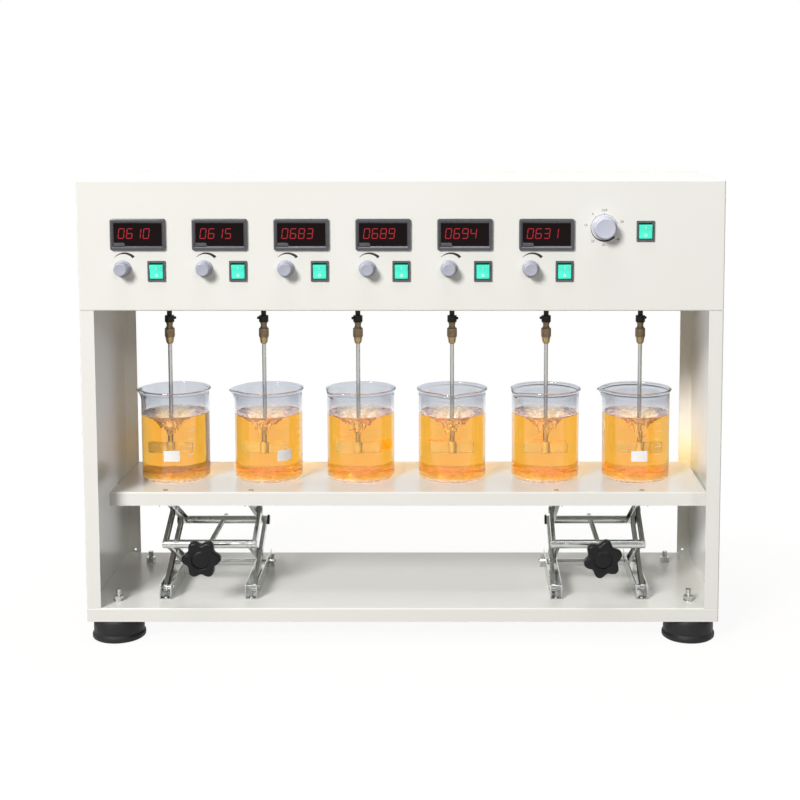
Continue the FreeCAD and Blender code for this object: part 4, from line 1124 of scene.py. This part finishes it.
def makeJacks():
    j = jacks
    for side in sides:
        name = f"{side}_jack_screw"
        low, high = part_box(name)
        joint = next(p for p in frame["joints"] if p["child"] == name)
        x, tubeY, z = joint["pos_m"]
        back = Vector((x, low.y + j["thick"] * mm, z))
        spin = towardsFront @ Matrix.Rotation(math.radians(j["knobTurns"][side]), 4, "Z")
        knob = placed(starKnobMesh(), back, spin)
        addPiece(name + "Knob", knob, name, phenolic, [name], 40)
        start = low.y + j["thick"] / 2 * mm
        screw = threadedRod((high.y - start) / mm, j["screw"], j["pitch"], j["thread"])
        away = Matrix.Rotation(math.radians(-90), 4, "X")
        screw = placed(screw, Vector((x, start, z)), away)
        addPiece(name + "Thread", screw, name, zinc, (), 25)
        tubeLow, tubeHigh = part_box(f"{side}_jack_front_tube")
        tube = (tubeHigh.z - tubeLow.z) / 2 / mm
        collar = lathe([(j["screw"] - 0.5, 0), (j["collar"] - 0.5, 0), (j["collar"], 0.5),
                        (j["collar"], j["collarLong"] - 0.5), (j["collar"] - 0.5, j["collarLong"]),
                        (j["screw"] - 0.5, j["collarLong"])], 40)
        spot = Vector((x, tubeY - (tube + j["collarGap"]) * mm, z))
        addPiece(name + "Collar", placed(collar, spot, towardsFront), name, zinc)
        makeRearBar(side)


# the bar between the jack's rear ends, with a black plastic cap on each end
def makeRearBar(side):
    j = jacks
    name = f"{side}_jack_rear_bar"
    low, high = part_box(name)
    along = Matrix.Rotation(math.radians(90), 4, "Y")
    start = Vector((low.x, (low.y + high.y) / 2, (low.z + high.z) / 2))
    long = (high.x - low.x) / mm
    cap, deep, edge = j["cap"], j["capLong"], j["capEdge"]
    bar = lathe([(0, deep / 2), (j["bar"], deep / 2), (j["bar"], long - deep / 2), (0, long - deep / 2)], 48)
    addPiece(name + "Bar", placed(bar, start, along), name, zinc, [name])
    disc = [(0, 0), (cap - edge, 0), (cap, edge), (cap, deep), (0, deep)]
    caps = joined(lathe(disc, 48), lathe([(radius, long - height) for radius, height in disc[::-1]], 48))
    addPiece(name + "Caps", placed(caps, start, along), name, phenolic)


feet = {"lip": 40.0, "body": 38.0, "boss": 18.0, "high": 34.0, "lipHigh": 9.0, "rearInset": 9.5}


def footMesh(top):
    f = feet
    body, high = f["body"], f["high"]
    return lathe([
        (0, 1.5), (26, 1.5), (28, 0), (36, 0), (37.5, 0.5), (39.5, 2.0), (f["lip"], 3.2), (f["lip"], 7.0),
        (f["lip"] - 0.4, 8.2), (body + 0.3, f["lipHigh"] + 0.2), (body - 0.4, 10.4), (body - 0.6, 12.0),
        (body - 0.1, 13.4), (body, 15.0), (body - 0.3, high - 5.0), (body - 0.9, high - 2.4),
        (body - 2.2, high - 0.6), (body - 4.0, high), (f["boss"], high), (f["boss"], top), (0, top)], 96)


def makeFeet():
    low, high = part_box("feet")
    parts = []
    lip, inset = feet["lip"] * mm, feet["rearInset"] * mm
    for y, inwards in ((low.y + lip, 0), (high.y - lip, inset)):
        for x in (low.x + lip + inwards, high.x - lip - inwards):
            parts.append(placed(footMesh((high.z - low.z) / mm), Vector((x, y, low.z))))
    addPiece("rubberFeet", joined(*parts), "frame", rubber, ["feet"])


print("meters, switches and knobs")
makeMeters()
makeSwitches()
makeKnobs()
makePrints()
print("stirrers and beakers")
makeStirrers()
makeBeakers()
print("jacks and feet")
makeJacks()
makeFeet()


studio = {
    "floorRadius": 9.0, "fadeFrom": 0.5, "fadeTo": 1.6, "litFrom": 0.66, "nearStrength": 1.42,
    "paper": "#807A72", "underFeet": 0.0002, "roomShare": 0.1, "roomX": (-0.2, 0.5), "roomY": (1.6, 2.8),
    "frontSpan": (0.5, -0.5), "topSpan": (0.35, 0.95), "tintSpan": (0.5, -0.2), "mirrorSpan": (-0.1, 0.25),
    "frontGlow": 0.07, "backGlow": 0.02, "topGlow": 0.12, "glossLift": 6.0, "frontTint": "#F7F8FF",
    "backTint": "#8C7050",
    "boxes": [((-3.5, -6.0, 4.4), 2.1, 625.0), ((2.7, -6.6, 3.1), 0.9, 62.0), ((0.0, -0.1, 2.9), 1.6, 38.0)],
    "aim": (0.0, 0.0, 0.38),
}


# a pale floor that turns into the plain white backdrop further out
def makeFloor():
    shares = (0.05, 0.15, 0.35, 0.65, 1.0)
    mesh = lathe([(0, 0)] + [(studio["floorRadius"] * 1000 * share, 0) for share in shares], 96)
    data = bpy.data.meshes.new("floor")
    data.from_pydata([(x * mm, y * mm, z * mm) for x, y, z in mesh[0]], [], mesh[1])
    material = bpy.data.materials.new("paleFloor")
    material.use_nodes = True
    tree = material.node_tree
    tree.nodes.clear()
    place = addNode(tree, "TexCoord").outputs["Object"]
    distance = addNode(tree, "VectorMath", {"operation": "LENGTH"}, {0: place})
    fade, strength = [addNode(tree, "MapRange", {"interpolation_type": "SMOOTHSTEP"}, {
        "Value": distance.outputs["Value"], "From Min": studio["fadeFrom"], "From Max": studio["fadeTo"],
        "To Min": studio[near], "To Max": 1.0}) for near in ("litFrom", "nearStrength")]
    path = addNode(tree, "LightPath")
    seen = addNode(tree, "Math", {"operation": "SUBTRACT"}, {0: 1.0, 1: path.outputs["Is Diffuse Ray"]})
    share = addNode(tree, "Math", {"operation": "MULTIPLY"}, {0: fade.outputs["Result"], 1: seen.outputs[0]})
    # far behind on the right the floor mirrors as a dim room, which shades the left column's inside
    spot = addNode(tree, "SeparateXYZ", inputs={0: place})
    right, behind = [addNode(tree, "MapRange", inputs={
        "Value": spot.outputs[axis], "From Min": start, "From Max": end})
        for axis, (start, end) in (("X", studio["roomX"]), ("Y", studio["roomY"]))]
    room = addNode(tree, "Math", {"operation": "MULTIPLY"},
                   {0: right.outputs["Result"], 1: behind.outputs["Result"]})
    mirrored = addNode(tree, "Math", {"operation": "MULTIPLY"},
                       {0: room.outputs[0], 1: path.outputs["Is Glossy Ray"]})
    left = addNode(tree, "MapRange", inputs={
        "Value": mirrored.outputs[0], "To Min": 1.0, "To Max": studio["roomShare"]})
    share = addNode(tree, "Math", {"operation": "MULTIPLY"}, {0: share.outputs[0], 1: left.outputs["Result"]})
    paper = addNode(tree, "BsdfDiffuse", inputs={"Color": toLinear(studio["paper"])})
    white = addNode(tree, "Emission", inputs={
        "Color": toLinear("#FFFFFF"), "Strength": strength.outputs["Result"]})
    mix = addNode(tree, "MixShader", inputs={0: share.outputs[0], 1: paper.outputs[0], 2: white.outputs[0]})
    addNode(tree, "OutputMaterial", inputs={"Surface": mix.outputs[0]})
    data.materials.append(material)
    floor = bpy.data.objects.new("floor", data)
    bpy.context.scene.collection.objects.link(floor)
    floor.location.z = cadBox[0][2] - studio["underFeet"]


# white to the eye, through glass and where surfaces mirror what is behind. Its own light is dim.
# A span is the part of a direction over which a light fades in
def makeWorld():
    world = bpy.data.worlds.new("studio")
    bpy.context.scene.world = world
    world.use_nodes = True
    tree = world.node_tree
    tree.nodes.clear()
    direction = addNode(tree, "TexCoord").outputs["Generated"]
    parts = addNode(tree, "SeparateXYZ", inputs={0: direction})
    spans = {name: studio[name + "Span"] for name in ("front", "top", "tint", "mirror")}
    frontness = addNode(tree, "MapRange", inputs={
        "Value": parts.outputs["Y"], "From Min": spans["front"][0], "From Max": spans["front"][1],
        "To Min": studio["backGlow"], "To Max": studio["frontGlow"]})
    upness = addNode(tree, "MapRange", inputs={
        "Value": parts.outputs["Z"], "From Min": spans["top"][0], "From Max": spans["top"][1],
        "To Min": 0.0, "To Max": studio["topGlow"]})
    glow = addNode(tree, "Math", {"operation": "MAXIMUM"},
                   {0: frontness.outputs["Result"], 1: upness.outputs["Result"]})
    tint = addNode(tree, "MapRange", inputs={
        "Value": parts.outputs["Y"], "From Min": spans["tint"][0], "From Max": spans["tint"][1]})
    tones = {0: tint.outputs["Result"], 6: toLinear(studio["backTint"]), 7: toLinear(studio["frontTint"])}
    colour = addNode(tree, "Mix", {"data_type": "RGBA"}, tones)
    path = addNode(tree, "LightPath")
    lift = addNode(tree, "MapRange", inputs={
        "Value": path.outputs["Is Glossy Ray"], "To Min": 1.0, "To Max": studio["glossLift"]})
    strength = addNode(tree, "Math", {"operation": "MULTIPLY"},
                       {0: glow.outputs[0], 1: lift.outputs["Result"]})
    light = addNode(tree, "Background", inputs={"Color": colour.outputs[2], "Strength": strength.outputs[0]})
    white = addNode(tree, "Background", inputs={"Color": toLinear("#FFFFFF"), "Strength": 1.0})
    seen = addNode(tree, "Math", {"operation": "MAXIMUM"},
                   {0: path.outputs["Is Camera Ray"], 1: path.outputs["Is Transmission Ray"]})
    behind = addNode(tree, "MapRange", inputs={
        "Value": parts.outputs["Y"], "From Min": spans["mirror"][0], "From Max": spans["mirror"][1]})
    mirrored = addNode(tree, "Math", {"operation": "MULTIPLY"},
                       {0: path.outputs["Is Glossy Ray"], 1: behind.outputs["Result"]})
    share = addNode(tree, "Math", {"operation": "MAXIMUM"}, {0: seen.outputs[0], 1: mirrored.outputs[0]})
    mix = addNode(tree, "MixShader", inputs={0: share.outputs[0], 1: light.outputs[0], 2: white.outputs[0]})
    addNode(tree, "OutputWorld", inputs={"Surface": mix.outputs[0]})


def makeLights():
    for k, (place, size, power) in enumerate(studio["boxes"]):
        lamp = bpy.data.lights.new(f"softBox{k + 1}", "AREA")
        lamp.shape = "SQUARE"
        lamp.size = size
        lamp.energy = power
        holder = bpy.data.objects.new(f"softBox{k + 1}", lamp)
        holder.location = place
        aim = Vector(studio["aim"]) - Vector(place)
        holder.rotation_euler = aim.to_track_quat("-Z", "Y").to_euler()
        bpy.context.scene.collection.objects.link(holder)


view = {
    "lens": 65.94, "sensor": 36, "place": (0.0844, -2.2703, 0.8034), "down": 5.716,
    "shift": (-0.0735, -0.1816),
}


def makeCamera():
    data = bpy.data.cameras.new("camera")
    data.lens = view["lens"]
    data.sensor_width = view["sensor"]
    data.shift_x, data.shift_y = view["shift"]
    camera = bpy.data.objects.new("camera", data)
    camera.location = view["place"]
    camera.rotation_euler = (math.radians(90 - view["down"]), 0, 0)
    bpy.context.scene.collection.objects.link(camera)
    bpy.context.scene.camera = camera


print("studio")
makeFloor()
makeWorld()
makeLights()
makeCamera()
bpy.context.scene.view_settings.view_transform = "Standard"
